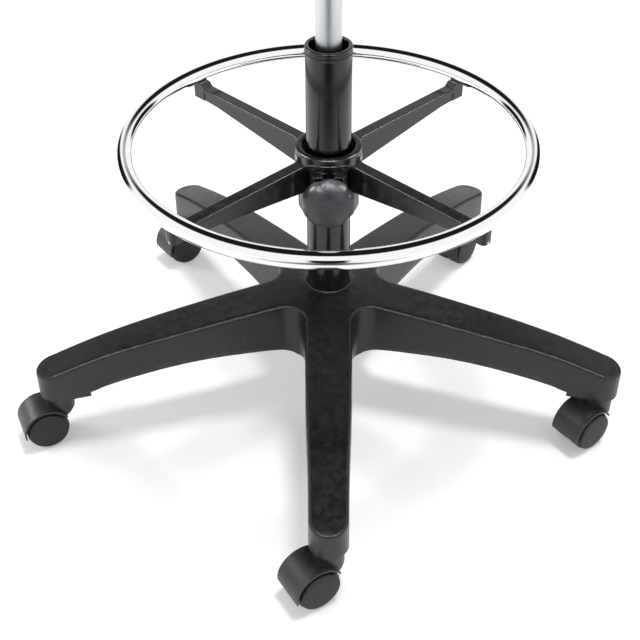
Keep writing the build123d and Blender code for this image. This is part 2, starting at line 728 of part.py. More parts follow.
# Spider that carries the ring: hub, four webbed arms, saddles and the clamp boss
arm_tip_z = spider_top_z - arm_tip_depth
arm_root_z = spider_top_z - arm_root_depth
web_root_z = spider_top_z - web_root_depth
saddle_start = arm_end - saddle_length
with BuildPart() as ring_spider:
    with BuildSketch(Plane.XY.offset(spider_top_z - arm_flange)) as flange_plan:
        Circle(hub_rim_radius)
        with PolarLocations(0, arm_count, start_angle=first_arm_angle):
            Rectangle(arm_end, arm_width, align=(Align.MIN, Align.CENTER))
        fillet(
            flange_plan.vertices().filter_by(lambda v: hypot(v.X, v.Y) < 2 * hub_rim_radius),
            arm_fillet,
        )
    extrude(amount=arm_flange)
    fillet(ring_spider.faces().sort_by(Axis.Z)[-1].edges(), arm_edge_radius)
    with BuildSketch(Plane.XY.offset(spider_top_z - hub_rim_height)):
        Circle(hub_rim_radius)
    extrude(amount=hub_rim_height - arm_flange)
    with BuildSketch(Plane.XY.offset(collar_bottom_z)):
        Circle(collar_radius)
    extrude(amount=collar_depth)
    for arm_angle in arm_angles:
        with BuildSketch(radial_plane(arm_angle)) as web_outline:
            with BuildLine():
                Polyline(
                    (liner_radius + liner_wall, web_root_z),
                    (collar_radius, web_root_z),
                    (collar_radius, arm_root_z),
                    (web_taper_end, arm_tip_z),
                    (arm_end, arm_tip_z),
                    (arm_end, spider_top_z),
                    (liner_radius + liner_wall, spider_top_z),
                    close=True,
                )
            make_face()
            fillet(web_outline.vertices().sort_by_distance((collar_radius, arm_root_z))[0], web_root_radius)
            fillet(web_outline.vertices().sort_by_distance((web_taper_end, arm_tip_z))[0], web_taper_radius)
        extrude(amount=arm_width / 2 - arm_panel_depth, both=True)
        with BuildSketch(radial_plane(arm_angle)):
            with BuildLine():
                Polyline(
                    (saddle_start, arm_tip_z),
                    (arm_end, arm_tip_z),
                    (arm_end, spider_top_z + saddle_rise),
                    (saddle_start + saddle_slope, spider_top_z + saddle_rise),
                    (saddle_start, spider_top_z),
                    close=True,
                )
            make_face()
        extrude(amount=arm_width / 2, both=True)
    fillet(
        ring_spider.edges().filter_by(Axis.Z).filter_by(
            lambda e: hypot(e.center().X, e.center().Y) > arm_end
        ),
        arm_end_radius,
    )
    with BuildSketch(Plane.XY.offset(boss_top_z)) as boss_plan:
        with Locations((0, -boss_front)):
            Rectangle(boss_width, boss_front - liner_radius - liner_wall, align=(Align.CENTER, Align.MIN))
        fillet(boss_plan.vertices().sort_by(Axis.Y)[:2], boss_edge_radius)
    extrude(amount=-boss_height)
    with BuildSketch(Plane.XY.offset(clamp_z)):
        with Locations((-boss_groove_offset, -boss_front), (boss_groove_offset, -boss_front)):
            Rectangle(boss_groove_width, 2 * boss_groove_depth)
    extrude(amount=boss_height, mode=Mode.SUBTRACT)
    with BuildSketch(Plane.XY.offset(collar_bottom_z)):
        Circle(liner_radius + running_gap)
    extrude(amount=collar_depth, mode=Mode.SUBTRACT)
    with BuildSketch(Plane.XY.offset(spider_top_z)):
        Circle(hub_recess_radius)
    extrude(amount=-hub_recess_depth, mode=Mode.SUBTRACT)
    with BuildSketch(Plane.XZ):
        with Locations((ring_radius, ring_height)):
            Circle(ring_tube_radius + press_gap)
    revolve(axis=Axis.Z, mode=Mode.SUBTRACT)
    with BuildSketch(Plane.XY.offset(clamp_z - nut_width / 2 - running_gap)):
        with Locations((0, -nut_back)):
            Rectangle(
                nut_width + 2 * running_gap,
                nut_thickness + 2 * running_gap,
                align=(Align.CENTER, Align.MAX),
            )
    extrude(amount=boss_height, mode=Mode.SUBTRACT)
    with BuildSketch(Plane.XY.offset(clamp_z + window_rise)):
        with Locations((0, -nut_back)):
            Rectangle(window_width, 2 * boss_depth, align=(Align.CENTER, Align.MAX))
    extrude(amount=boss_height, mode=Mode.SUBTRACT)
    with BuildSketch(Plane.XZ):
        with Locations((0, clamp_z)):
            Circle(stud_radius + seat_gap)
    extrude(amount=boss_front + moving_gap, mode=Mode.SUBTRACT)
    with BuildSketch(Plane.XZ):
        with Locations((0, clamp_z)):
            Circle(shoe_radius + running_gap)
    extrude(amount=nut_back, mode=Mode.SUBTRACT)
    with BuildSketch(Plane.XY.offset(arm_root_z)):
        with PolarLocations(ring_radius, arm_count, start_angle=first_arm_angle):
            Circle(screw_radius + running_gap)
    extrude(amount=2 * arm_root_depth, mode=Mode.SUBTRACT)
    with BuildSketch(Plane.XY.offset(arm_root_z)):
        with PolarLocations(ring_radius, arm_count, start_angle=first_arm_angle):
            Circle(screw_head_radius + running_gap)
    extrude(amount=arm_tip_z - arm_root_z + screw_head_height, mode=Mode.SUBTRACT)
ring_spider.part.label = "ring_spider"
export_step(ring_spider.part, "parts/ring_spider.step")

screw_seat_z = arm_tip_z + screw_head_height
with BuildPart() as ring_screws:
    with BuildSketch(Plane.XY.offset(screw_seat_z)):
        with PolarLocations(ring_radius, arm_count, start_angle=first_arm_angle):
            Circle(screw_head_radius)
    extrude(amount=-screw_head_height)
    with BuildSketch(Plane.XY.offset(screw_seat_z)):
        with PolarLocations(ring_radius, arm_count, start_angle=first_arm_angle):
            Circle(screw_radius)
    extrude(amount=ring_height - ring_tube_radius + ring_tube_wall + screw_reach - screw_seat_z)
ring_screws.part.label = "ring_screws"
export_step(ring_screws.part, "parts/ring_screws.step")

# Clamp: nut in the boss, shoe that presses the liner, stud and knob
with BuildPart() as clamp_nut:
    with BuildSketch(Plane.XZ.offset(nut_back + running_gap)):
        with Locations((0, clamp_z)):
            Rectangle(nut_width, nut_width)
            Circle(stud_radius + running_gap, mode=Mode.SUBTRACT)
    extrude(amount=nut_thickness)
clamp_nut.part.label = "clamp_nut"
export_step(clamp_nut.part, "parts/clamp_nut.step")

with BuildPart() as clamp_shoe:
    with BuildSketch(Plane.XZ):
        with Locations((0, clamp_z)):
            Circle(shoe_radius)
    extrude(amount=shoe_start + shoe_length)
    with BuildSketch(Plane.XY.offset(clamp_z - shoe_length)):
        Circle(shoe_start)
    extrude(amount=3 * shoe_length, both=True, mode=Mode.SUBTRACT)
    with BuildSketch(Plane.XZ.offset(shoe_start + shoe_length - stud_tip_length - seat_gap)):
        with Locations((0, clamp_z)):
            Circle(stud_tip_radius + running_gap)
    extrude(amount=shoe_length, mode=Mode.SUBTRACT)
clamp_shoe.part.label = "clamp_shoe"
export_step(clamp_shoe.part, "parts/clamp_shoe.step")

stud_start = shoe_start + shoe_length + seat_gap
with BuildPart() as clamp_stud:
    with BuildSketch(Plane.XZ.offset(stud_start - seat_gap - stud_tip_length)):
        with Locations((0, clamp_z)):
            Circle(stud_tip_radius)
    extrude(amount=stud_tip_length + seat_gap)
    with BuildSketch(Plane.XZ.offset(stud_start)):
        with Locations((0, clamp_z)):
            Circle(stud_radius)
    extrude(amount=knob_back + knob_socket_depth - stud_start)
clamp_stud.part.label = "clamp_stud"
export_step(clamp_stud.part, "parts/clamp_stud.step")

with BuildPart() as clamp_knob:
    with BuildSketch(Plane.XZ.offset(knob_back)) as knob_plan:
        with Locations((0, clamp_z)):
            Circle(knob_radius)
            with PolarLocations(knob_scallop_circle, knob_lobes, start_angle=knob_notch_angle):
                Circle(knob_scallop_radius, mode=Mode.SUBTRACT)
        fillet(knob_plan.vertices(), knob_scallop_blend)
    extrude(amount=knob_thickness)
    fillet(clamp_knob.faces().sort_by(Axis.Y)[0].edges(), knob_front_edge)
    fillet(clamp_knob.faces().sort_by(Axis.Y)[-1].edges(), knob_rear_edge)
    with Locations((0, knob_dish_depth - knob_front - knob_dish_radius, clamp_z)):
        Sphere(knob_dish_radius, mode=Mode.SUBTRACT)
    with BuildSketch(Plane.XZ.offset(knob_back)):
        with Locations((0, clamp_z)):
            Circle(stud_radius + press_gap)
    extrude(amount=knob_socket_depth + seat_gap, mode=Mode.SUBTRACT)
clamp_knob.part.label = "clamp_knob"
export_step(clamp_knob.part, "parts/clamp_knob.step")
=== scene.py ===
# %% [markdown]
# # A drafting chair's base, gas lift and foot ring
#
# The object is the undercarriage of a high office chair: a black moulded star on
# five casters, a painted column with a chrome cylinder sliding in it, and a
# chrome foot ring on four arms. The CAD model already has every solid in its
# place, so this lesson loads it as a fixed frame and then works on what the eye
# sees: rounded edges, smooth chrome, moulded grain, and light.

import json
from math import atan2, cos, degrees, pi, radians, sin, tan

import bmesh
import bpy
import numpy as np
from mathutils import Matrix, Vector


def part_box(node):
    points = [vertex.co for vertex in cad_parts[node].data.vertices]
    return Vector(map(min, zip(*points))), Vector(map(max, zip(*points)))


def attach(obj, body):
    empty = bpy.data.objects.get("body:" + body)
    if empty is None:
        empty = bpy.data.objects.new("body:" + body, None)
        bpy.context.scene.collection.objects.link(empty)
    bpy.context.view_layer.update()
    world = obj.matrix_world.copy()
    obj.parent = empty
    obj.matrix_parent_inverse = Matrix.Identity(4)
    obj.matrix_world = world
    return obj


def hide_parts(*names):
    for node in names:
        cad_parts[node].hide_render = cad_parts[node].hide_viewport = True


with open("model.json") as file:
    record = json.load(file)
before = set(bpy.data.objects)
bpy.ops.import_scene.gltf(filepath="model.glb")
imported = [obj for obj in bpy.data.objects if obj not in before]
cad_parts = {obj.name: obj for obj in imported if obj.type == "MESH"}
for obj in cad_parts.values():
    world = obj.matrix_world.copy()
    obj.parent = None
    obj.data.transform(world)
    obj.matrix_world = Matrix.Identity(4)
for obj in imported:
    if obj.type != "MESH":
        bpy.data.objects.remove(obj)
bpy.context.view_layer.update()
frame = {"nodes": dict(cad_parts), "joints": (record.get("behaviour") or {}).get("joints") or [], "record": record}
nodes = frame["nodes"]
scene = bpy.context.scene
MM = 0.001

# %% [markdown]
# ## The camera and the studio
#
# The photograph looks down on the chair from the front. The camera's height,
# distance, tilt and lens come from fitting known sizes (50 mm wheels, a 50 mm
# column) to the picture. A tiny sideways shift stands for its off-centre framing.
# The colours should come out as they are written, so the view transform is
# Standard and every other setting stays as Blender has it.

# %% Camera
LENS, SENSOR_WIDTH = 63.755, 36.0  # mm
SIDE_SHIFT, PICTURE_WIDTH = -8.65, 640  # pixels
CAMERA_PLACE = (0.0, -1.089, 0.971)  # metres
LOOKING_DOWN = 39.04  # degrees

camera_data = bpy.data.cameras.new("photo_camera")
camera_data.lens = LENS
camera_data.sensor_width = SENSOR_WIDTH
camera_data.shift_x = SIDE_SHIFT / PICTURE_WIDTH
camera = bpy.data.objects.new("photo_camera", camera_data)
camera.location = CAMERA_PLACE
camera.rotation_euler = (radians(90 - LOOKING_DOWN), 0.0, 0.0)
scene.collection.objects.link(camera)
scene.camera = camera
scene.view_settings.view_transform = "Standard"
print(f"camera: {camera_data.lens:.1f} mm lens, {camera.location.length:.2f} m from the origin")

# %% [markdown]
# ## Helpers for node trees
#
# Every finish here is made of nodes. Wiring them by hand takes three lines a
# node, so one short function adds a node and fills its inputs: a value is set, and
# another node's socket is linked. Two more do arithmetic and mixing.

# %% Node helpers
def fill(tree, socket, value):
    """Link a socket to another node's socket, or set its value."""
    if isinstance(value, bpy.types.NodeSocket):
        tree.links.new(value, socket)
    else:
        socket.default_value = value


def put(tree, kind, **inputs):
    """Add a node, and set or link its inputs by name; a space is written as two underscores."""
    node = tree.nodes.new(kind)
    for name, value in inputs.items():
        fill(tree, node.inputs[name.replace("__", " ")], value)
    return node


def calc(tree, operation, *values, clamp=False):
    """A Math node's result for one, two or three values."""
    node = tree.nodes.new("ShaderNodeMath")
    node.operation = operation
    node.use_clamp = clamp
    for socket, value in zip(node.inputs, values):
        fill(tree, socket, value)
    return node.outputs[0]


def between(tree, share, low, high):
    """A value that runs from low to high as share goes from 0 to 1."""
    node = tree.nodes.new("ShaderNodeMapRange")
    fill(tree, node.inputs["Value"], share)
    node.inputs["To Min"].default_value = low
    node.inputs["To Max"].default_value = high
    return node.outputs["Result"]


def step_up(tree, value, start, end):
    """A smooth step from 0 at start to 1 at end."""
    node = tree.nodes.new("ShaderNodeMapRange")
    node.interpolation_type = "SMOOTHSTEP"
    fill(tree, node.inputs["Value"], value)
    node.inputs["From Min"].default_value = start
    node.inputs["From Max"].default_value = end
    return node.outputs["Result"]


def tint(tree, share, low, high):
    """A colour that runs from low to high as share goes from 0 to 1."""
    node = tree.nodes.new("ShaderNodeMix")
    node.data_type = "RGBA"
    colours = [socket for socket in node.inputs if socket.type == "RGBA"]
    fill(tree, node.inputs[0], share)
    for socket, colour in zip(colours, (low, high)):
        fill(tree, socket, colour if isinstance(colour, bpy.types.NodeSocket) else (*colour, 1.0))
    return next(socket for socket in node.outputs if socket.type == "RGBA")


# %% [markdown]
# ## Floor, world and lamps
#
# The object stands on white paper under one soft lamp, almost overhead and a
# little behind on the right, so each leg's shadow lies just under it. An even
# white world fills the shadows. Chrome is only as good as what it mirrors: the real
# ring shows white paper and white walls, a deep black band from the unlit ceiling,
# two dark doorways low at the back, and a short dark mark from the camera's stand.
# So mirror rays alone meet that room. The camera itself sees plain white. Soft boxes
# at the sides and the front draw the lines of light on rounded black edges.

# %% Floor
def mix_shaders(tree, share, first, second):
    """One shader where share is 0 and another where it is 1."""
    node = put(tree, "ShaderNodeMixShader", Fac=share)
    tree.links.new(first.outputs[0], node.inputs[1])
    tree.links.new(second.outputs[0], node.inputs[2])
    return node


PAPER_HALF, PAPER_GLOW = 6.0, 0.30  # half its width in metres; light added for the camera

floor_mesh = bpy.data.meshes.new("white_paper")
floor_corners = [(x * PAPER_HALF, y * PAPER_HALF, 0.0) for x, y in ((-1, -1), (1, -1), (1, 1), (-1, 1))]
floor_mesh.from_pydata(floor_corners, [], [(0, 1, 2, 3)])
floor = bpy.data.objects.new("white_paper", floor_mesh)
scene.collection.objects.link(floor)
floor_paper = bpy.data.materials.new("white_paper")
floor_paper.use_nodes = True
floor_mesh.materials.append(floor_paper)
tree = floor_paper.node_tree
tree.nodes.clear()
position = put(tree, "ShaderNodeTexCoord").outputs["Object"]
place = put(tree, "ShaderNodeSeparateXYZ", Vector=position).outputs
cloud = put(tree, "ShaderNodeTexNoise", Vector=position, Scale=1.5, Detail=3.0).outputs["Fac"]
paper = put(tree, "ShaderNodeBsdfDiffuse", Color=tint(tree, cloud, (0.84, 0.84, 0.845), (0.86, 0.86, 0.86)))
glow = put(tree, "ShaderNodeEmission", Color=(1.0, 1.0, 1.0, 1.0), Strength=PAPER_GLOW)
lifted = put(tree, "ShaderNodeAddShader")
tree.links.new(paper.outputs[0], lifted.inputs[0])
tree.links.new(glow.outputs[0], lifted.inputs[1])
near_stand = calc(
    tree, "MULTIPLY",
    step_up(tree, place["Y"], -0.40, -1.15),
    step_up(tree, calc(tree, "ABSOLUTE", place["X"]), 1.0, 0.1),
)
stand = put(tree, "ShaderNodeEmission", Color=(0.06, 0.06, 0.065, 1.0), Strength=1.0)
mirrored = mix_shaders(tree, near_stand, lifted, stand)
path = put(tree, "ShaderNodeLightPath").outputs
seen = calc(tree, "MAXIMUM", path["Is Camera Ray"], path["Is Transmission Ray"])
surface = mix_shaders(tree, seen, mix_shaders(tree, path["Is Glossy Ray"], paper, mirrored), lifted)
put(tree, "ShaderNodeOutputMaterial", Surface=surface.outputs[0])

# %% World
world = bpy.data.worlds.new("studio_world")
world.use_nodes = True
scene.world = world
tree = world.node_tree
tree.nodes.clear()
heading = put(tree, "ShaderNodeTexCoord").outputs["Generated"]
part = put(tree, "ShaderNodeSeparateXYZ", Vector=heading).outputs
aside = calc(tree, "ABSOLUTE", part["X"])
folded = put(tree, "ShaderNodeCombineXYZ", X=aside, Y=part["Y"], Z=part["Z"]).outputs[0]


def dark_patch(turn, rise, outer, inner):
    """A round patch of the room, dark within its inner angle; turn is from the back, rise from level."""
    turn, rise = radians(turn), radians(rise)
    towards = tree.nodes.new("ShaderNodeVectorMath")
    towards.operation = "DOT_PRODUCT"
    fill(tree, towards.inputs[0], folded)
    fill(tree, towards.inputs[1], (sin(turn) * cos(rise), cos(turn) * cos(rise), sin(rise)))
    return step_up(tree, towards.outputs["Value"], cos(radians(outer)), cos(radians(inner)))


ceiling = dark_patch(turn=0, rise=67, outer=42, inner=33)
doorway = dark_patch(turn=45, rise=9, outer=20, inner=13)
narrow = calc(tree, "MULTIPLY", step_up(tree, aside, 0.20, 0.12), step_up(tree, part["Y"], -0.5, -0.7))
stand = calc(tree, "MULTIPLY", narrow, step_up(tree, part["Z"], 0.46, 0.38))
dark = calc(tree, "MAXIMUM", calc(tree, "MAXIMUM", ceiling, doorway), stand)
even = put(tree, "ShaderNodeBackground", Color=(0.965, 0.975, 1.0, 1.0), Strength=0.47)
white = put(tree, "ShaderNodeBackground", Color=(1.0, 1.0, 1.0, 1.0), Strength=1.0)
room = put(tree, "ShaderNodeBackground", Color=tint(tree, dark, (1.0, 1.0, 1.0), (0.010, 0.010, 0.012)))
path = put(tree, "ShaderNodeLightPath").outputs
seen = calc(tree, "MAXIMUM", path["Is Camera Ray"], path["Is Transmission Ray"])
whole = mix_shaders(tree, seen, mix_shaders(tree, path["Is Glossy Ray"], even, room), white)
put(tree, "ShaderNodeOutputWorld", Surface=whole.outputs[0])

# %% Overhead lamp and soft boxes
SUN_POWER, SUN_SPREAD, SUN_FROM = 1.6, 13, Vector((0.168, 0.136, 1.0))  # spread in degrees

sun_data = bpy.data.lights.new("soft_sun", "SUN")
sun_data.energy = SUN_POWER
sun_data.color = (1.0, 0.997, 0.985)
sun_data.angle = radians(SUN_SPREAD)
sun = bpy.data.objects.new("soft_sun", sun_data)
sun.rotation_euler = SUN_FROM.to_track_quat("Z", "Y").to_euler()
sun.visible_glossy = False
scene.collection.objects.link(sun)


LAMP_AIM = Vector((0.0, 0.0, 0.2))


def soft_box(name, place, size, power):
    """A square lamp that faces the column; place and size are in metres, power is in watts."""
    data = bpy.data.lights.new(name, "AREA")
    data.size = size
    data.energy = power
    lamp = bpy.data.objects.new(name, data)
    lamp.location = place
    lamp.rotation_euler = (Vector(place) - LAMP_AIM).to_track_quat("Z", "Y").to_euler()
    scene.collection.objects.link(lamp)
    return lamp


side_boxes = [
    soft_box("left_soft_box", (-1.5, 0.35, 0.75), 0.5, 7.0),
    soft_box("right_soft_box", (1.5, 0.35, 0.75), 0.5, 2.2),
]
front_boxes = [
    soft_box("front_box_0", (-0.55, -1.5, 1.75), 0.62, 13.0),
    soft_box("front_box_1", (0.55, -1.5, 1.75), 0.62, 13.0),
]
arm_boxes = [
    soft_box("arm_box_0", (-1.45, 0.05, 1.25), 0.75, 34.0),
    soft_box("arm_box_1", (1.45, 0.05, 1.25), 0.75, 34.0),
    soft_box("knob_box", (0.0, -0.6, 1.95), 0.9, 36.0),
]
for lamp in front_boxes + arm_boxes:
    lamp.visible_diffuse = False
print(f"studio: paper, world, an overhead lamp and {len(side_boxes + front_boxes + arm_boxes)} soft boxes")

# %% [markdown]
# ## Effects that several finishes share
#
# Moulded plastic, paint and plated steel differ in colour and gloss, but the small
# things on them repeat: a fine grain, a cloudy unevenness, lines left by handling,
# paler edges, partly rubbed by boots and partly painted highlight lines, and dust on
# upward faces that also paints a pale sheen on tops. Each is one node group with named
# inputs, so that a material only sets the sizes that suit it.

# %% Group helper
def new_group(name, inputs, outputs):
    """An empty shader group with named sockets; gives its tree, inputs and outputs."""
    group = bpy.data.node_groups.new(name, "ShaderNodeTree")
    for label, kind, default in inputs:
        socket = group.interface.new_socket(label, in_out="INPUT", socket_type=kind)
        if default is not None:
            socket.default_value = default
    for label, kind in outputs:
        group.interface.new_socket(label, in_out="OUTPUT", socket_type=kind)
    return group, group.nodes.new("NodeGroupInput").outputs, group.nodes.new("NodeGroupOutput").inputs


def use_group(tree, group, **inputs):
    """Place a group in a material with its own values."""
    node = tree.nodes.new("ShaderNodeGroup")
    node.node_tree = group
    for name, value in inputs.items():
        fill(tree, node.inputs[name.replace("__", " ")], value)
    return node.outputs


VALUE, VECTOR = "NodeSocketFloat", "NodeSocketVector"

# %% Moulded grain
moulded_grain, given, result = new_group(
    "Moulded Grain",
    [("Position", VECTOR, None), ("Grain Scale", VALUE, 1800.0), ("Cloud Scale", VALUE, 22.0)],
    [("Height", VALUE), ("Cloud", VALUE)],
)
spot, scale = given["Position"], given["Grain Scale"]
fine = put(moulded_grain, "ShaderNodeTexNoise", Vector=spot, Scale=scale, Detail=2.0)
pits = put(moulded_grain, "ShaderNodeTexVoronoi", Vector=spot, Scale=scale)
cloud = put(
    moulded_grain, "ShaderNodeTexNoise",
    Vector=spot, Scale=given["Cloud Scale"], Detail=5.0, Roughness=0.62, Distortion=0.35,
)
rough = calc(moulded_grain, "MULTIPLY_ADD", pits.outputs["Distance"], 0.6, fine.outputs["Fac"])
fill(moulded_grain, result["Height"], rough)
fill(moulded_grain, result["Cloud"], step_up(moulded_grain, cloud.outputs["Fac"], 0.34, 0.68))

# %% Handling lines
handling_lines, given, result = new_group(
    "Handling Lines",
    [("Position", VECTOR, None), ("Scale", VALUE, 60.0), ("Amount", VALUE, 0.3)],
    [("Lines", VALUE)],
)
drawn = put(handling_lines, "ShaderNodeMapping", Vector=given["Position"], Scale=(1.0, 1.0, 0.04))
strokes = put(
    handling_lines, "ShaderNodeTexNoise",
    Vector=drawn.outputs[0], Scale=given["Scale"], Detail=6.0, Roughness=0.7, Distortion=0.6,
)
where = put(handling_lines, "ShaderNodeTexNoise", Vector=given["Position"], Scale=9.0, Detail=2.0)
sharp = step_up(handling_lines, strokes.outputs["Fac"], 0.60, 0.72)
here = calc(handling_lines, "MULTIPLY", sharp, where.outputs["Fac"])
fill(handling_lines, result["Lines"], calc(handling_lines, "MULTIPLY", here, given["Amount"]))

# %% Dust and painted top sheen
dust_and_top_sheen, given, result = new_group(
    "Dust And Top Sheen",
    [("Position", VECTOR, None), ("Normal", VECTOR, None), ("Amount", VALUE, 0.3)],
    [("Dust And Sheen", VALUE)],
)
# Dust settles on upward faces, and the same mask paints a pale sheen on tops, as light from above would.
upward = put(dust_and_top_sheen, "ShaderNodeSeparateXYZ", Vector=given["Normal"]).outputs["Z"]
flat = step_up(dust_and_top_sheen, upward, 0.35, 0.95)
drift = put(
    dust_and_top_sheen, "ShaderNodeTexNoise",
    Vector=given["Position"], Scale=110.0, Detail=6.0, Roughness=0.7,
)
patchy = step_up(dust_and_top_sheen, drift.outputs["Fac"], 0.40, 0.66)
here = calc(dust_and_top_sheen, "MULTIPLY", flat, patchy)
fill(dust_and_top_sheen, result["Dust And Sheen"], calc(dust_and_top_sheen, "MULTIPLY", here, given["Amount"]))

# %% Soft edges
soft_edges, given, result = new_group(
    "Soft Edges",
    [("Radius", VALUE, 0.0008), ("Position", VECTOR, None)],
    [("Normal", VECTOR), ("Worn And Highlit Edge", VALUE)],
)
rounding = put(soft_edges, "ShaderNodeBevel", Radius=given["Radius"])
rounding.samples = 6
bend = soft_edges.nodes.new("ShaderNodeVectorMath")
bend.operation = "DOT_PRODUCT"
fill(soft_edges, bend.inputs[0], rounding.outputs[0])
fill(soft_edges, bend.inputs[1], put(soft_edges, "ShaderNodeNewGeometry").outputs["Normal"])
patches = put(
    soft_edges, "ShaderNodeTexNoise",
    Vector=given["Position"], Scale=45.0, Detail=5.0, Roughness=0.65,
)
# Paler where the rounding bends: partly rubbed wear, partly painted highlight lines along the rounded edges.
worn_and_highlit = calc(
    soft_edges, "MULTIPLY",
    step_up(soft_edges, bend.outputs["Value"], 0.99, 0.80),
    between(soft_edges, patches.outputs["Fac"], 0.25, 1.0),
)
fill(soft_edges, result["Normal"], rounding.outputs[0])
fill(soft_edges, result["Worn And Highlit Edge"], worn_and_highlit)
print("groups:", ", ".join(group.name for group in bpy.data.node_groups if group.type == "SHADER"))

# %% [markdown]
# ## Finishes
#
# Black plastic is nearly all reflection: its own colour is under two percent, and
# what the eye reads as grey is the room, blurred by the surface. So the colours
# below are very dark, and roughness and bump carry the difference between a matt
# moulded star, a satin knob, a glossy painted column and bright chrome. Each
# material is named for the record's slot that it belongs to. The lift cylinder is
# ground as well as plated, so the chrome slot has a second material for it.

# %% Finish helper
finishes = {}


def new_finish(slot, **fixed):
    """A material with a Principled shader and the sockets that are the same all over."""
    material = bpy.data.materials.new(slot)
    material.use_nodes = True
    tree = material.node_tree
    tree.nodes.clear()
    shader = tree.nodes.new("ShaderNodeBsdfPrincipled")
    for name, value in fixed.items():
        shader.inputs[name.replace("__", " ")].default_value = value
    put(tree, "ShaderNodeOutputMaterial", Surface=shader.outputs["BSDF"])
    finishes[slot] = material
    position = put(tree, "ShaderNodeTexCoord").outputs["Object"]
    return tree, shader.inputs, position


def bump(tree, height, depth, **normal):
    """A bumped normal; depth is the height's full size in metres."""
    return put(tree, "ShaderNodeBump", Height=height, Distance=depth, **normal).outputs["Normal"]


# %% Moulded plastics
def moulded(
    slot, dark, pale, roughness,
    cloud=70.0, depth=0.000008, dust_and_sheen=0.25, lines=0.3, bright=3.2, edge=0.001, wear_and_highlight=0.5, shine=0.5,
):
    """Grained black plastic with a cloudy tone, soft edges that are partly worn and partly painted highlight
    lines, dust that also paints a top sheen, and faint handling lines.

    Its colour runs from dark to pale. Worn and dusty places, with the painted highlight lines and top sheen, are
    bright times paler.
    The grain's depth and the edge's radius are in metres.
    """
    tree, shader, position = new_finish(slot, Specular__IOR__Level=shine)
    grained = use_group(tree, moulded_grain, Position=position, Cloud__Scale=cloud)
    edges = use_group(tree, soft_edges, Radius=edge, Position=position)
    dust_and_sheen_mask = use_group(tree, dust_and_top_sheen, Position=position, Normal=edges["Normal"], Amount=dust_and_sheen)["Dust And Sheen"]
    drawn = use_group(tree, handling_lines, Position=position, Scale=90.0, Amount=lines)["Lines"]
    plain = tint(tree, grained["Cloud"], dark, pale)
    worn_and_highlit = calc(tree, "MULTIPLY", edges["Worn And Highlit Edge"], wear_and_highlight)
    marked = calc(tree, "ADD", calc(tree, "ADD", dust_and_sheen_mask, drawn), worn_and_highlit, clamp=True)
    # Dust, handling lines and worn edges lighten the colour. With them go a painted top sheen and painted
    # highlight lines on edges.
    fill(tree, shader["Base Color"], tint(tree, marked, plain, [bright * part for part in pale]))
    gloss = between(tree, grained["Cloud"], roughness - 0.04, roughness + 0.06)
    fill(tree, shader["Roughness"], calc(tree, "MULTIPLY_ADD", dust_and_sheen_mask, 0.3, gloss))
    fill(tree, shader["Normal"], bump(tree, grained["Height"], depth, Normal=edges["Normal"]))


# On the star the dust and worn edges are partly painted light: a pale sheen on the leg tops and highlight lines
# along the rounded edges.
moulded(
    "moulded_nylon", (0.008, 0.0083, 0.009), (0.0135, 0.014, 0.015), 0.33,
    cloud=150.0, depth=0.000014, dust_and_sheen=0.22, bright=4.0, edge=0.0015, wear_and_highlight=0.2,
)
moulded("caster_nylon", (0.020, 0.0202, 0.021), (0.028, 0.0282, 0.0295), 0.39, edge=0.0006, wear_and_highlight=0.12)
moulded("wheel_nylon", (0.0095, 0.0095, 0.010), (0.0145, 0.0145, 0.015), 0.50, dust_and_sheen=0.15, shine=0.38)
# The spider's edge mask is strong, so its arms get pale painted highlight lines along their edges.
moulded(
    "spider_nylon", (0.0125, 0.0122, 0.0118), (0.0150, 0.0147, 0.0142), 0.17,
    cloud=120.0, depth=0.000003, dust_and_sheen=0.0, lines=0.0, bright=5.0, edge=0.0012, wear_and_highlight=0.8,
)
# The knob's dust mask is set high, so its top shoulder gets a painted pale sheen.
moulded("knob_nylon", (0.050, 0.053, 0.058), (0.067, 0.071, 0.078), 0.34, dust_and_sheen=0.6, bright=4.0)
moulded("guide_plastic", (0.012, 0.012, 0.012), (0.018, 0.018, 0.018), 0.5)
moulded("bumper_rubber", (0.008, 0.008, 0.008), (0.013, 0.013, 0.013), 0.75, depth=0.00004)

# %% Column paint
tree, shader, position = new_finish("column_paint", Coat__Roughness=0.06)
peel = put(tree, "ShaderNodeTexNoise", Vector=position, Scale=420.0, Detail=1.0)
haze = put(tree, "ShaderNodeTexNoise", Vector=position, Scale=30.0, Detail=4.0)
lines = use_group(tree, handling_lines, Position=position, Scale=140.0, Amount=0.5)["Lines"]
fill(tree, shader["Base Color"], tint(tree, lines, (0.0035, 0.0033, 0.0032), (0.02, 0.02, 0.02)))
fill(tree, shader["Roughness"], between(tree, haze.outputs["Fac"], 0.16, 0.26))
fill(tree, shader["Coat Weight"], between(tree, haze.outputs["Fac"], 0.35, 0.15))
fill(tree, shader["Normal"], bump(tree, peel.outputs["Fac"], 0.00002))

# %% Chrome and steel
tree, shader, position = new_finish("chrome", Metallic=1.0)
haze = put(tree, "ShaderNodeTexNoise", Vector=position, Scale=26.0, Detail=5.0, Roughness=0.65)
lines = use_group(tree, handling_lines, Position=position, Scale=220.0, Amount=0.6)["Lines"]
fill(tree, shader["Base Color"], tint(tree, haze.outputs["Fac"], (0.90, 0.905, 0.91), (0.95, 0.95, 0.95)))
polish = between(tree, haze.outputs["Fac"], 0.03, 0.07)
fill(tree, shader["Roughness"], calc(tree, "MULTIPLY_ADD", lines, 0.22, polish))
fill(tree, shader["Normal"], bump(tree, haze.outputs["Fac"], 0.00003))

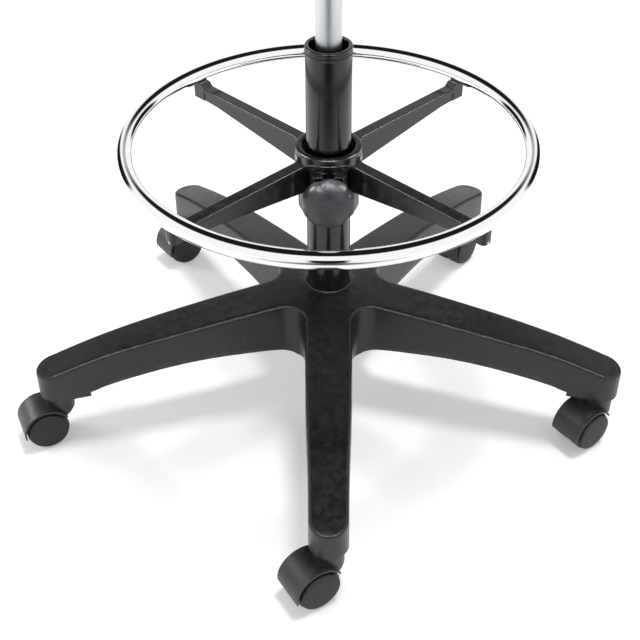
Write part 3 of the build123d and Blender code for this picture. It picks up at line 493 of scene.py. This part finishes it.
tree, shader, position = new_finish("ground_chrome", Metallic=1.0)
drawn = put(tree, "ShaderNodeMapping", Vector=position, Scale=(1.0, 1.0, 0.02))
streaks = put(tree, "ShaderNodeTexNoise", Vector=drawn.outputs[0], Scale=240.0, Detail=4.0, Roughness=0.6)
haze = put(tree, "ShaderNodeTexNoise", Vector=position, Scale=40.0, Detail=4.0)
fill(tree, shader["Base Color"], tint(tree, streaks.outputs["Fac"], (0.54, 0.565, 0.58), (0.72, 0.735, 0.745)))
fill(tree, shader["Roughness"], between(tree, haze.outputs["Fac"], 0.28, 0.38))
fill(tree, shader["Normal"], bump(tree, streaks.outputs["Fac"], 0.00001))

tree, shader, position = new_finish("steel", Metallic=1.0)
turning = put(tree, "ShaderNodeMapping", Vector=position, Scale=(1.0, 1.0, 40.0))
rings = put(tree, "ShaderNodeTexNoise", Vector=turning.outputs[0], Scale=120.0, Detail=3.0)
haze = put(tree, "ShaderNodeTexNoise", Vector=position, Scale=90.0, Detail=4.0)
fill(tree, shader["Base Color"], tint(tree, haze.outputs["Fac"], (0.40, 0.40, 0.41), (0.58, 0.58, 0.59)))
fill(tree, shader["Roughness"], between(tree, rings.outputs["Fac"], 0.22, 0.42))
fill(tree, shader["Normal"], bump(tree, rings.outputs["Fac"], 0.00002))
print("finishes:", ", ".join(finishes))

# %% [markdown]
# ## Dress the CAD solids
#
# The record says which finish each solid has. Giving every solid its material first
# means that nothing is ever left bare: a solid that is later replaced by a better
# piece is hidden, and the inner works of the lift keep this one.

# %% Dress the CAD solids
for subpart in frame["record"]["subparts"]:
    solid = nodes[subpart["node"]]
    solid.data.materials.clear()
    solid.data.materials.append(finishes[subpart["material_slot"]])
slot_of = {subpart["node"]: subpart["material_slot"] for subpart in frame["record"]["subparts"]}
body_of = {node: body for body, group in frame["record"]["behaviour"]["bodies"].items() for node in group}
print(f"dressed {len(slot_of)} solids in {len(finishes)} finishes")

# %% [markdown]
# ## Helpers for pieces
#
# Most of the round pieces are turned: an outline of radius and height is carried
# round an axis. On a real part no edge is perfectly sharp, and a small radius is
# what catches the light, so a helper rounds the corners of an outline first. A
# second helper sets a finished piece on its body in place of its CAD solid.

# %% Piece helpers
def rounded(corners, steps=5):
    """Closed outline with its corners rounded; each corner is (across, along, radius)."""
    outline = []
    for i, (across, along, radius) in enumerate(corners):
        corner = Vector((across, along))
        if not radius:
            outline.append(corner)
            continue
        back = (Vector(corners[i - 1][:2]) - corner).normalized()
        on = (Vector(corners[(i + 1) % len(corners)][:2]) - corner).normalized()
        half = back.angle(on) / 2
        centre = corner + (back + on).normalized() * radius / sin(half)
        first = corner + back * radius / tan(half) - centre
        last = corner + on * radius / tan(half) - centre
        sweep_angle = first.angle(last)
        for k in range(steps + 1):
            share = k / steps
            spoke = first * sin((1 - share) * sweep_angle) + last * sin(share * sweep_angle)
            outline.append(centre + spoke / sin(sweep_angle))
    return outline


def turned(name, outline, place=None, steps=128):
    """Mesh object of a closed (radius, height) outline in mm, turned round an axis; place is metres."""
    shape = bmesh.new()
    rings = []
    for k in range(steps):
        angle = 2 * pi * k / steps
        rings.append([
            shape.verts.new((radius * MM * cos(angle), radius * MM * sin(angle), height * MM))
            for radius, height in outline
        ])
    for k, ring in enumerate(rings):
        after = rings[(k + 1) % steps]
        for i in range(len(outline)):
            j = (i + 1) % len(outline)
            if outline[i][0] > 0 or outline[j][0] > 0:
                shape.faces.new((ring[i], after[i], after[j], ring[j]))
    bmesh.ops.remove_doubles(shape, verts=shape.verts, dist=1e-7)
    bmesh.ops.recalc_face_normals(shape, faces=shape.faces)
    return object_from(name, shape, place)


def object_from(name, shape, place=None):
    """A linked object from a bmesh, its place worked into the mesh."""
    if place is not None:
        shape.transform(place)
    mesh = bpy.data.meshes.new(name)
    shape.to_mesh(mesh)
    shape.free()
    piece = bpy.data.objects.new(name, mesh)
    scene.collection.objects.link(piece)
    return piece


def set_on(piece, *stands_for, crease=32.0, finish=None, hide=True):
    """Smooth a finished piece and put it on the body of the solids that it stands for, or that carry it."""
    slot = slot_of[stands_for[0]]
    piece.data.materials.clear()
    piece.data.materials.append(finishes[finish or slot])
    if crease is not None:
        piece.data.shade_smooth()
        piece.data.set_sharp_from_angle(angle=radians(crease))
    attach(piece, body_of[stands_for[0]])
    if hide:
        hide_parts(*stands_for)
    low, high = (Vector(c) for c in (piece.bound_box[0], piece.bound_box[6]))
    size = (high - low) / MM
    print(f"{piece.name}: {len(piece.data.polygons)} faces, {size.x:.1f} x {size.y:.1f} x {size.z:.1f} mm")
    return piece


def plain_mesh(maker, name):
    """The evaluated mesh of a node-made object as a plain object; the maker is removed."""
    graph = bpy.context.evaluated_depsgraph_get()
    mesh = bpy.data.meshes.new_from_object(maker.evaluated_get(graph))
    piece = bpy.data.objects.new(name, mesh)
    scene.collection.objects.link(piece)
    maker_mesh = maker.data
    bpy.data.objects.remove(maker)
    bpy.data.meshes.remove(maker_mesh)
    return piece


# %% [markdown]
# ## The foot ring
#
# The ring is one steel tube rolled into a circle, welded and chromed. Its shape is
# a rule: a round section carried along a circle. Geometry Nodes says just that,
# with the two radii and the height as inputs, and its fine steps keep the mirror
# image in the chrome free of facets, which the CAD mesh would show.

# %% Geometry Nodes helper
def new_maker(name, sizes):
    """An object with an empty Geometry Nodes tree that has named inputs for its sizes."""
    tree = bpy.data.node_groups.new(name, "GeometryNodeTree")
    tree.interface.new_socket("Geometry", in_out="OUTPUT", socket_type="NodeSocketGeometry")
    for label, value in sizes.items():
        kind = "NodeSocketInt" if isinstance(value, int) else "NodeSocketFloat"
        tree.interface.new_socket(label, in_out="INPUT", socket_type=kind)
    maker = bpy.data.objects.new(name, bpy.data.meshes.new(name))
    scene.collection.objects.link(maker)
    modifier = maker.modifiers.new(name, "NODES")
    modifier.node_group = tree
    for socket in tree.interface.items_tree:
        if socket.in_out == "INPUT":
            modifier[socket.identifier] = sizes[socket.name]
    return maker, tree, tree.nodes.new("NodeGroupInput").outputs


def end_maker(tree, geometry, material):
    """Close a tree with real faces, smooth shading and a material."""
    real = put(tree, "GeometryNodeRealizeInstances", Geometry=geometry)
    smooth = put(tree, "GeometryNodeSetShadeSmooth", Geometry=real.outputs[0])
    painted = put(tree, "GeometryNodeSetMaterial", Geometry=smooth.outputs[0], Material=material)
    put(tree, "NodeGroupOutput", Geometry=painted.outputs[0])


# %% Foot ring
low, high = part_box("foot_ring")
tube = (high.z - low.z) / 2
maker, tree, size = new_maker("foot_ring_rule", {
    "Ring Radius": (high.x - low.x) / 2 - tube,
    "Tube Radius": tube,
    "Height": (high.z + low.z) / 2,
    "Steps Round": 320,
    "Steps Across": 48,
})
circle, section = (
    put(tree, "GeometryNodeCurvePrimitiveCircle", Resolution=size[steps], Radius=size[radius])
    for steps, radius in (("Steps Round", "Ring Radius"), ("Steps Across", "Tube Radius"))
)
swept = put(
    tree, "GeometryNodeCurveToMesh",
    Curve=circle.outputs["Curve"], Profile__Curve=section.outputs["Curve"],
)
up = put(tree, "ShaderNodeCombineXYZ", Z=size["Height"])
raised = put(tree, "GeometryNodeTransform", Geometry=swept.outputs[0], Translation=up.outputs[0])
end_maker(tree, raised.outputs[0], finishes["chrome"])
set_on(plain_mesh(maker, "foot_ring_tube"), "foot_ring", crease=60)

# %% [markdown]
# ## The screws of the foot ring
#
# Four socket screws come up through the ends of the arms and hold the ring. They are
# alike, so one is made and set on four points. Each is grown from a disc, as on a
# lathe: extruded along the shank, widened for the head, drawn in for its rounded end,
# and pressed in again for the six-sided socket.

# %% Ring screws
low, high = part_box("ring_screws")
head_radius, head_height = 4.2 * MM, 3.4 * MM
maker, tree, size = new_maker("ring_screw_rule", {
    "Screws": 4,
    "Circle Radius": (high.x - head_radius) / cos(radians(45)),
    "Seat Height": low.z + head_height,
    "Shank Radius": 2.4 * MM,
    "Shank Length": high.z - low.z - head_height,
    "Head Radius": head_radius,
    "Head Height": head_height,
    "Socket Radius": 2.3 * MM,
    "Socket Depth": 1.9 * MM,
})


def grow(tree, mesh, selection, along, ratio):
    """Carry the end face along the axis and widen or narrow it; gives the mesh and its new end face."""
    offset = put(tree, "ShaderNodeCombineXYZ", Z=along).outputs[0]
    longer = put(
        tree, "GeometryNodeExtrudeMesh",
        Mesh=mesh, Selection=selection, Offset=offset, Individual=False,
    )
    wider = put(
        tree, "GeometryNodeScaleElements",
        Geometry=longer.outputs["Mesh"], Selection=longer.outputs["Top"], Scale=ratio,
    )
    return wider.outputs[0], longer.outputs["Top"]


def share_of(tree, value, share):
    """Part of a length."""
    return calc(tree, "MULTIPLY", value, share)


# The head is straight for most of its height. Each row after that is a drop and a narrowing.
STRAIGHT, ROUND_END, NARROWED = -0.74, ((-0.12, 0.975), (-0.09, 0.94), (-0.05, 0.90)), 0.825
ARM_TURN = radians(45)

disc = put(tree, "GeometryNodeMeshCircle", Vertices=36, Radius=size["Shank Radius"])
disc.fill_type = "NGON"
up = put(tree, "ShaderNodeCombineXYZ", Z=size["Shank Length"])
start = put(tree, "GeometryNodeTransform", Geometry=disc.outputs[0], Translation=up.outputs[0]).outputs[0]
mesh, end = grow(tree, start, True, share_of(tree, size["Shank Length"], -1.0), 1.0)
mesh, end = grow(tree, mesh, end, 0.0, calc(tree, "DIVIDE", size["Head Radius"], size["Shank Radius"]))
mesh, end = grow(tree, mesh, end, share_of(tree, size["Head Height"], STRAIGHT), 1.0)
for drop, ratio in ROUND_END:
    mesh, end = grow(tree, mesh, end, share_of(tree, size["Head Height"], drop), ratio)
end_radius = share_of(tree, size["Head Radius"], NARROWED)
mesh, end = grow(tree, mesh, end, 0.0, calc(tree, "DIVIDE", size["Socket Radius"], end_radius))
place = put(tree, "ShaderNodeSeparateXYZ", Vector=put(tree, "GeometryNodeInputPosition").outputs[0]).outputs
turn = calc(tree, "ADD", calc(tree, "ARCTAN2", place["Y"], place["X"]), 2 * pi)
sector = calc(tree, "SUBTRACT", calc(tree, "MODULO", turn, pi / 3), pi / 6)
flat = calc(tree, "DIVIDE", cos(pi / 6), calc(tree, "COSINE", sector))
six_sided = put(
    tree, "ShaderNodeCombineXYZ",
    X=calc(tree, "MULTIPLY", place["X"], flat), Y=calc(tree, "MULTIPLY", place["Y"], flat), Z=place["Z"],
).outputs[0]
mesh = put(tree, "GeometryNodeSetPosition", Geometry=mesh, Selection=end, Position=six_sided).outputs[0]
mesh, _ = grow(tree, mesh, end, size["Socket Depth"], 1.0)
both = tree.nodes.new("GeometryNodeJoinGeometry")
tree.links.new(mesh, both.inputs[0])
tree.links.new(start, both.inputs[0])
closed = put(tree, "GeometryNodeMergeByDistance", Geometry=both.outputs[0], Distance=1e-6)
corners = put(tree, "GeometryNodeMeshCircle", Vertices=size["Screws"], Radius=size["Circle Radius"])
spots = put(tree, "GeometryNodeTransform", Geometry=corners.outputs[0], Rotation=(0.0, 0.0, ARM_TURN))
placed = put(tree, "GeometryNodeInstanceOnPoints", Points=spots.outputs[0], Instance=closed.outputs[0])
up = put(tree, "ShaderNodeCombineXYZ", Z=size["Seat Height"])
raised = put(tree, "GeometryNodeTransform", Geometry=placed.outputs[0], Translation=up.outputs[0])
end_maker(tree, raised.outputs[0], finishes["steel"])
screws = plain_mesh(maker, "ring_socket_screws")
shape = bmesh.new()
shape.from_mesh(screws.data)
bmesh.ops.recalc_face_normals(shape, faces=shape.faces)
shape.to_mesh(screws.data)
shape.free()
set_on(screws, "ring_screws")

# %% [markdown]
# ## The lift: column, mouth ring and chrome cylinder
#
# These are drawn tubes, so they are turned. The column is sprayed gloss black and
# slightly coned where it is driven into the star. The mouth ring has a rounded lip
# with a fine line under it. The cylinder is ground and chromed, and ends in the
# tapered seat cone.

# %% Lift tubes
CONE_SLOPE, CONE_LENGTH, WALL = tan(radians(1.438)), 60.0, 2.0
TUBE_RADIUS, TUBE_FLOOR, ROD_HOLE = 25.0, 3.0, 4.5
CAP_RADIUS, CAP_BORE, CAP_SKIRT = 25.4, 21.0, 22.95
CYLINDER_RADIUS, GLAND_HOLE = 14.0, 5.5

low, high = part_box("column_tube")
foot, mouth = low.z / MM, high.z / MM
cone_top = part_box("star_base")[1].z / MM - 0.4
cone_foot = TUBE_RADIUS - (cone_top - foot) * CONE_SLOPE
column_outline = rounded([
    (ROD_HOLE, foot, 0), (cone_foot, foot, 1.0), (TUBE_RADIUS, cone_top, 0), (TUBE_RADIUS, mouth, 0.6),
    (TUBE_RADIUS - WALL, mouth, 0.6), (TUBE_RADIUS - WALL, cone_top, 0),
    (cone_foot - WALL, foot + TUBE_FLOOR, 0), (ROD_HOLE, foot + TUBE_FLOOR, 0),
])
set_on(turned("column_painted_tube", column_outline), "column_tube")

low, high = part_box("column_cap")
skirt, lip = low.z / MM, high.z / MM
cap_outline = rounded([
    (CAP_BORE, skirt, 0), (CAP_SKIRT, skirt, 0.4), (CAP_SKIRT, mouth, 0), (CAP_RADIUS, mouth, 0.5),
    (CAP_RADIUS, mouth + 5.2, 0.3), (CAP_RADIUS - 0.4, mouth + 5.6, 0.2), (CAP_RADIUS, mouth + 6.0, 0.3),
    (CAP_RADIUS, lip, 1.3), (CAP_BORE, lip, 1.0),
])
set_on(turned("column_mouth_ring", cap_outline), "column_cap")

low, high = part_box("lift_cylinder")
bottom, top = low.z / MM, high.z / MM
cone_start = top - CONE_LENGTH
cone_end = CYLINDER_RADIUS - CONE_LENGTH * CONE_SLOPE
cylinder_outline = rounded([
    (GLAND_HOLE, bottom, 0), (CYLINDER_RADIUS, bottom, 0.8), (CYLINDER_RADIUS, cone_start, 0),
    (cone_end, top, 0.8), (cone_end - WALL, top, 0.4), (cone_end - WALL, cone_start - WALL, 0),
    (CYLINDER_RADIUS - WALL, cone_start - 2 * WALL, 0), (CYLINDER_RADIUS - WALL, bottom + WALL, 0),
    (GLAND_HOLE, bottom + WALL, 0),
])
set_on(turned("lift_chrome_cylinder", cylinder_outline), "lift_cylinder", finish="ground_chrome")

# %% [markdown]
# ## Wheels
#
# Each caster has two wheels, moulded as a cup with a closed outer disc. The disc
# is very slightly crowned and its rim is well rounded, which is what draws the soft
# line of light round it. It is a little smaller than the tread, and the step between
# them shows as a dark line. The joints of the record say where each axle is and
# which way it points, so ten wheels come from one outline.

# %% Wheels
joints = {joint["name"]: joint for joint in frame["joints"]}
BORE, BOSS, CUP, TREAD, DISC = 3.1, 6.4, 21.8, 24.95, 23.2  # radii in mm
INNER_FACE = 3.7  # mm from the middle of the caster
wheel_outline = rounded([
    (BORE, INNER_FACE, 0.3), (BOSS, INNER_FACE, 0.5), (BOSS, 19.6, 0.8),
    (CUP, 19.6, 1.5), (CUP, INNER_FACE, 0.4),
    (TREAD, INNER_FACE, 0.8), (TREAD, 16.8, 0.8),
    (DISC, 17.6, 0.5), (DISC, 21.9, 1.8), (15.0, 22.5, 0), (0.0, 22.55, 0),
    (0.0, 20.4, 0), (BORE, 20.4, 0),
], steps=6)


def axle_place(joint, node):
    """Where a wheel's outline goes: its axis along the axle, outwards on the side of its CAD solid."""
    centre = Vector(joint["pos_m"])
    axis = Vector(joint["axis"]).normalized()
    low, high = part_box(node)
    if ((low + high) / 2 - centre).dot(axis) < 0:
        axis = -axis
    return Matrix.Translation(centre) @ axis.to_track_quat("Z", "Y").to_matrix().to_4x4()


for name in sorted(node for node in nodes if "_wheel_" in node):
    place = axle_place(joints[f"{name}_spin"], name)
    set_on(turned(f"{name}_moulded", wheel_outline, place, steps=96), name)

# %% [markdown]
# ## Caster hoods
#
# A hood wraps the back and top of its two wheels. In the photograph its skirt stops
# well above the floor, so that a strip of each wheel shows under it. The CAD hood
# reaches a little lower. A copy of it is cut along a plane through the axle, and the
# cut wall is closed again, which leaves the rest of the moulding as it is. Only what
# lies well away from the axle is cut, so the web between the wheels stays whole. The
# shading normals of the uncut mesh no longer fit, and are dropped.

# %% Hoods
SKIRT_TRIM, SKIRT_START = 20.0, 18.0 * MM  # degrees round the axle; metres from it


def trimmed_hood(caster):
    """A copy of a caster's hood with its skirt cut shorter by an angle round the axle."""
    centre = Vector(joints[f"{caster}_wheel_a_spin"]["pos_m"])
    back = centre - Vector(joints[f"{caster}_swivel"]["pos_m"])
    back.z = 0.0
    back.normalize()
    shape = bmesh.new()
    shape.from_mesh(nodes[f"{caster}_hood"].data)
    bmesh.ops.remove_doubles(shape, verts=shape.verts, dist=2e-6)
    spokes = [vert.co - centre for vert in shape.verts]
    behind = [spoke for spoke in spokes if spoke.dot(back) > SKIRT_START / 2]
    lowest = min(atan2(spoke.z, spoke.dot(back)) for spoke in behind)
    end = lowest + radians(SKIRT_TRIM)
    out = back * cos(end) + Vector((0.0, 0.0, sin(end)))
    up = Vector((0.0, 0.0, cos(end))) - back * sin(end)
    for point, normal in ((centre, up), (centre + out * SKIRT_START, out)):
        everything = shape.verts[:] + shape.edges[:] + shape.faces[:]
        bmesh.ops.bisect_plane(shape, geom=everything, dist=1e-7, plane_co=point, plane_no=normal)
    cut = []
    for face in shape.faces:
        spoke = face.calc_center_median() - centre
        if spoke.dot(up) < 0 and spoke.dot(out) > SKIRT_START:
            cut.append(face)
    bmesh.ops.delete(shape, geom=cut, context="FACES")
    rim = [edge for edge in shape.edges if edge.is_boundary]
    bmesh.ops.holes_fill(shape, edges=rim, sides=0)
    bmesh.ops.recalc_face_normals(shape, faces=shape.faces)
    still_open = sum(edge.is_boundary for edge in shape.edges)
    print(f"{caster}: skirt from {degrees(lowest):.0f} to {degrees(end):.0f} degrees, {still_open} open edges")
    hood = object_from(f"{caster}_hood_moulded", shape)
    old_normals = hood.data.attributes.get("custom_normal")
    if old_normals is not None:
        hood.data.attributes.remove(old_normals)
    return hood


for name in sorted(node for node in nodes if node.endswith("_hood")):
    set_on(trimmed_hood(name.removesuffix("_hood")), name, crease=24.0)

# %% [markdown]
# ## The rim of the foot ring's hub
#
# Where the column passes through the hub of the four arms, the moulding ends in a
# low rounded rim. It is turned from a small outline and sunk into the hub's flat top,
# so only its round back stands out and catches the light.

# %% Hub rim
RIM_BORE, RIM_RADIUS, RIM_HEIGHT, RIM_SUNK = 29.9, 36.9, 2.6, 6.0
hub_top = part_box("ring_spider")[1].z / MM
rim_foot, rim_top = hub_top - RIM_SUNK, hub_top + RIM_HEIGHT
rim_outline = rounded([
    (RIM_BORE, rim_foot, 0), (RIM_RADIUS, rim_foot, 0), (RIM_RADIUS, rim_top, 2.0), (RIM_BORE, rim_top, 1.4),
], steps=8)
set_on(turned("hub_rim", rim_outline, steps=144), "ring_spider", hide=False)

# %% [markdown]
# ## The star base
#
# The star is one moulding of black nylon. Its CAD solid has the ribs, sockets and
# hollow of the real one, with sloping walls and a narrow edge. In the photograph the
# walls stand upright and the top rolls over into them in a wide round. Rather than
# model it all again, a copy of the solid is eased into that form: its walls are
# turned upright, its top edge is opened out, the legs get a little more arch, and
# their tips drop a little. First the old form is measured. A level cut gives the
# outline of the walls, and a curve through the top's points gives the crown.

# %% Star base: its walls and its crown
WALL_SLOPE, EDGE_RADIUS = tan(radians(4.0)), 2.0  # of the CAD solid; lengths are in mm
CUT_HEIGHT, TOP_HEIGHT = 33.7, 34.0  # above the lowest point of the star
HUB_RADIUS, TIP_CENTRE, HALF_WIDTH = 40.0, 330.0, 12.5
CROWN_FROM, CROWN_TO, CROWN_POWER, CROWN_ERROR = 32.0, 368.0, 6, 0.5

shape = bmesh.new()
shape.from_mesh(nodes["star_base"].data)
bmesh.ops.remove_doubles(shape, verts=shape.verts, dist=2e-6)
points = np.array([vert.co for vert in shape.verts]) / MM
tip_z = points[:, 2].min()
radius = np.hypot(points[:, 0], points[:, 1])
leg_axes = [Vector((cos(angle), sin(angle))) for angle in (radians(72 * k - 90) for k in range(5))]
cut_z = tip_z + CUT_HEIGHT
starts, ends, outward = [], [], []
for face in shape.faces:
    heights = [vert.co.z / MM - cut_z for vert in face.verts]
    crossing = []
    for k, height in enumerate(heights):
        after = (k + 1) % len(heights)
        if height * heights[after] < 0:
            share = height / (height - heights[after])
            crossing.append(face.verts[k].co.lerp(face.verts[after].co, share).xy / MM)
    if len(crossing) == 2:
        middle = (crossing[0] + crossing[1]) / 2
        axis = max(leg_axes, key=middle.dot)
        away = middle - axis * min(middle.dot(axis), TIP_CENTRE)
        facing = face.normal.xy.normalized()
        outer_wall = away.length > HALF_WIDTH and middle.length > HUB_RADIUS
        if outer_wall and away.normalized().dot(facing) > 0.3:
            starts.append(crossing[0])
            ends.append(crossing[1])
            outward.append(facing)
starts, ends, outward = np.array(starts), np.array(ends), np.array(outward)
top = {vert.index for face in shape.faces if face.normal.z > 0.94 for vert in face.verts}
top = [k for k in top if points[k, 2] > tip_z + TOP_HEIGHT and CROWN_FROM < radius[k] < CROWN_TO]
fit = np.polynomial.Polynomial.fit(radius[top], points[top, 2], CROWN_POWER)
top = [k for k in top if abs(points[k, 2] - fit(radius[k])) < CROWN_ERROR]
fit = np.polynomial.Polynomial.fit(radius[top], points[top, 2], CROWN_POWER)
print(f"star walls: {len(starts)} cuts; crown from {len(top)} points, {fit(40):.1f} to {fit(350):.1f} mm")

# %% Star base: eased form
WIDE_EDGE, EASE_DEPTH = 5.2, 15.0  # the new edge's radius, and how deep its easing reaches, in mm
UPRIGHT, ROOT_WIDTH = 0.85, 1.9  # share of the slope taken out, and mm added to each wall near the hub
ARCH, ARCH_BELOW, LEG_DEPTH = 0.5, 6, 45.0  # the top rises by the arch, and the underside sinks by more
TIP_DROP, TIP_DEPTH = 3.0, 34.0


def smooth_step(value, start, end):
    """0 before start, 1 after end, smooth between."""
    share = np.clip((value - start) / (end - start), 0.0, 1.0)
    return share * share * (3 - 2 * share)


along = ends - starts
reach = (along ** 2).sum(axis=1) + 1e-12
inside = np.empty(len(points))
push = np.empty((len(points), 2))
for k, point in enumerate(points[:, :2]):
    share = np.clip(((point - starts) * along).sum(axis=1) / reach, 0.0, 1.0)
    gap = point - starts - share[:, None] * along
    nearest = np.argmin((gap ** 2).sum(axis=1))
    push[k] = outward[nearest]
    inside[k] = -gap[nearest] @ outward[nearest]
inside += (cut_z - points[:, 2]) * WALL_SLOPE
below = fit(radius) - points[:, 2]
skin = 1.15 * EDGE_RADIUS


def opened(depth):
    """How much further from the old corner a depth moves when the edge is opened out."""
    spread = (WIDE_EDGE - EDGE_RADIUS) * (1 - (depth - EDGE_RADIUS) / (EASE_DEPTH - EDGE_RADIUS))
    near = np.clip(depth, 0, None) * (WIDE_EDGE / EDGE_RADIUS - 1)
    return np.where(depth < EDGE_RADIUS, near, np.clip(spread, 0, None))


inwards = np.where((below < skin) & (radius > HUB_RADIUS), opened(inside), 0.0)
downwards = np.where((inside < skin) & (radius > HUB_RADIUS), opened(below), 0.0)
near_wall = 1 - smooth_step(inside, 6.0, 16.0)
near_hub = 1 - smooth_step(radius, 190.0, 290.0)
near_tip = smooth_step(radius, 260.0, 350.0)
middle_of_leg = smooth_step(radius, 60.0, 130.0) * (1 - smooth_step(radius, 230.0, 310.0))
widened = (points[:, 2] - tip_z) * WALL_SLOPE * UPRIGHT + ROOT_WIDTH * near_hub
shift = widened * near_wall - inwards
eased = points.copy()
eased[:, :2] += push * shift[:, None]
eased[:, 2] += ARCH * middle_of_leg * (1 - ARCH_BELOW * np.clip(below / LEG_DEPTH, 0, 1)) - downwards
eased[:, 2] -= TIP_DROP * near_tip * (1 - np.clip(below / TIP_DEPTH, 0, 1))
for vert, place in zip(shape.verts, eased):
    vert.co = place * MM
bmesh.ops.recalc_face_normals(shape, faces=shape.faces)
star = object_from("star_base_moulding", shape)
star.data.shade_smooth()
star.data.set_sharp_from_angle(angle=radians(32))
even_normals = star.modifiers.new("even_normals", "WEIGHTED_NORMAL")
even_normals.keep_sharp = True
star_moulding = plain_mesh(star, "star_moulding")
set_on(star_moulding, "star_base", crease=None)
print(f"star: walls moved out up to {shift.max():.1f} mm, top edge opened to {WIDE_EDGE} mm")

# %% [markdown]
# ## The clamp knob
#
# The knob is a moulded pebble with five shallow finger grips, a well rounded front
# and a faint dish where the thumb rests. Its outline changes with the angle, so it
# is not turned: a grid of rings and spokes is laid out, and the grips fade from the
# rim to the middle.

# %% Knob
low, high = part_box("clamp_knob")
knob_axis_z = (low.z + high.z) / 2 / MM
knob_back, knob_front = high.y / MM, low.y / MM
knob_depth = knob_back - knob_front
KNOB_RADIUS, GRIP_DEPTH, SPOKES = 29.4, 1.9, 160  # mm
GRIPS, GRIP_WIDTH, FIRST_GRIP = 5, 15.0, 108.5  # degrees
BROW_ACROSS, BROW_ALONG = 0.30, 0.38  # where the round front has its centre
# Each row is a share of the radius and a share of the depth: flat back, round front and thumb dish.
knob_outline = [
    (0.16, 0.0), (0.60, 0.0), (0.88, 0.02), (0.95, 0.07), (0.985, 0.15), (1.0, 0.25), (1.0, BROW_ALONG),
]
for turn in range(6, 91, 6):
    across = BROW_ACROSS + (1 - BROW_ACROSS) * cos(radians(turn))
    knob_outline.append((across, BROW_ALONG + 0.61 * sin(radians(turn))))
knob_outline += [(0.24, 0.978), (0.16, 0.960), (0.07, 0.952)]


def grip_share(angle):
    """How far into a finger grip an angle in degrees lies, from 0 to 1."""
    apart = min(abs((angle - FIRST_GRIP - 360 / GRIPS * k + 180) % 360 - 180) for k in range(GRIPS))
    return cos(radians(90 * min(apart / GRIP_WIDTH, 1.0))) ** 2


shape = bmesh.new()
rings = []
for share, along in knob_outline:
    ring = []
    for k in range(SPOKES):
        angle = 360 * k / SPOKES
        radius = share * KNOB_RADIUS - GRIP_DEPTH * grip_share(angle) * share ** 3
        ring.append(shape.verts.new((
            radius * cos(radians(angle)) * MM,
            (knob_back - along * knob_depth) * MM,
            (knob_axis_z + radius * sin(radians(angle))) * MM,
        )))
    rings.append(ring)
for first, second in zip(rings, rings[1:]):
    for k in range(SPOKES):
        shape.faces.new((first[k], first[(k + 1) % SPOKES], second[(k + 1) % SPOKES], second[k]))
shape.faces.new(rings[0])
shape.faces.new(rings[-1])
bmesh.ops.recalc_face_normals(shape, faces=shape.faces)
set_on(object_from("clamp_knob_pebble", shape), "clamp_knob", crease=60)

# %% [markdown]
# ## Which lamp lights which piece
#
# A lamp's mirror image would cut a white dash into the black band of the ring. In a
# studio a black flag hides the lamp from the metal, and light linking does the same
# here: the chrome is left out of every soft box. The star is left out of the two low
# side boxes, which would whiten a leg's top. The two boxes high at the sides and the
# one over the knob are there for the thin lines of light on the arms' edges, so they
# light only the arms, their rim and the knob.

# %% Flags
def link_light(name, lights, pieces, state):
    """Let lights reach only these pieces (INCLUDE), or all others (EXCLUDE)."""
    group = bpy.data.collections.new(name)
    for piece in pieces:
        group.objects.link(piece)
    for member in group.collection_objects:
        member.light_linking.link_state = state
    for light in lights:
        light.light_linking.receiver_collection = group


chrome_pieces = [bpy.data.objects[name] for name in ("foot_ring_tube", "lift_chrome_cylinder")]
arm_pieces = [nodes["ring_spider"], bpy.data.objects["hub_rim"], bpy.data.objects["clamp_knob_pebble"]]
link_light("flagged_front", front_boxes, chrome_pieces, "EXCLUDE")
link_light("flagged_side", side_boxes, chrome_pieces + [star_moulding], "EXCLUDE")
link_light("arm_lines", arm_boxes, arm_pieces, "INCLUDE")
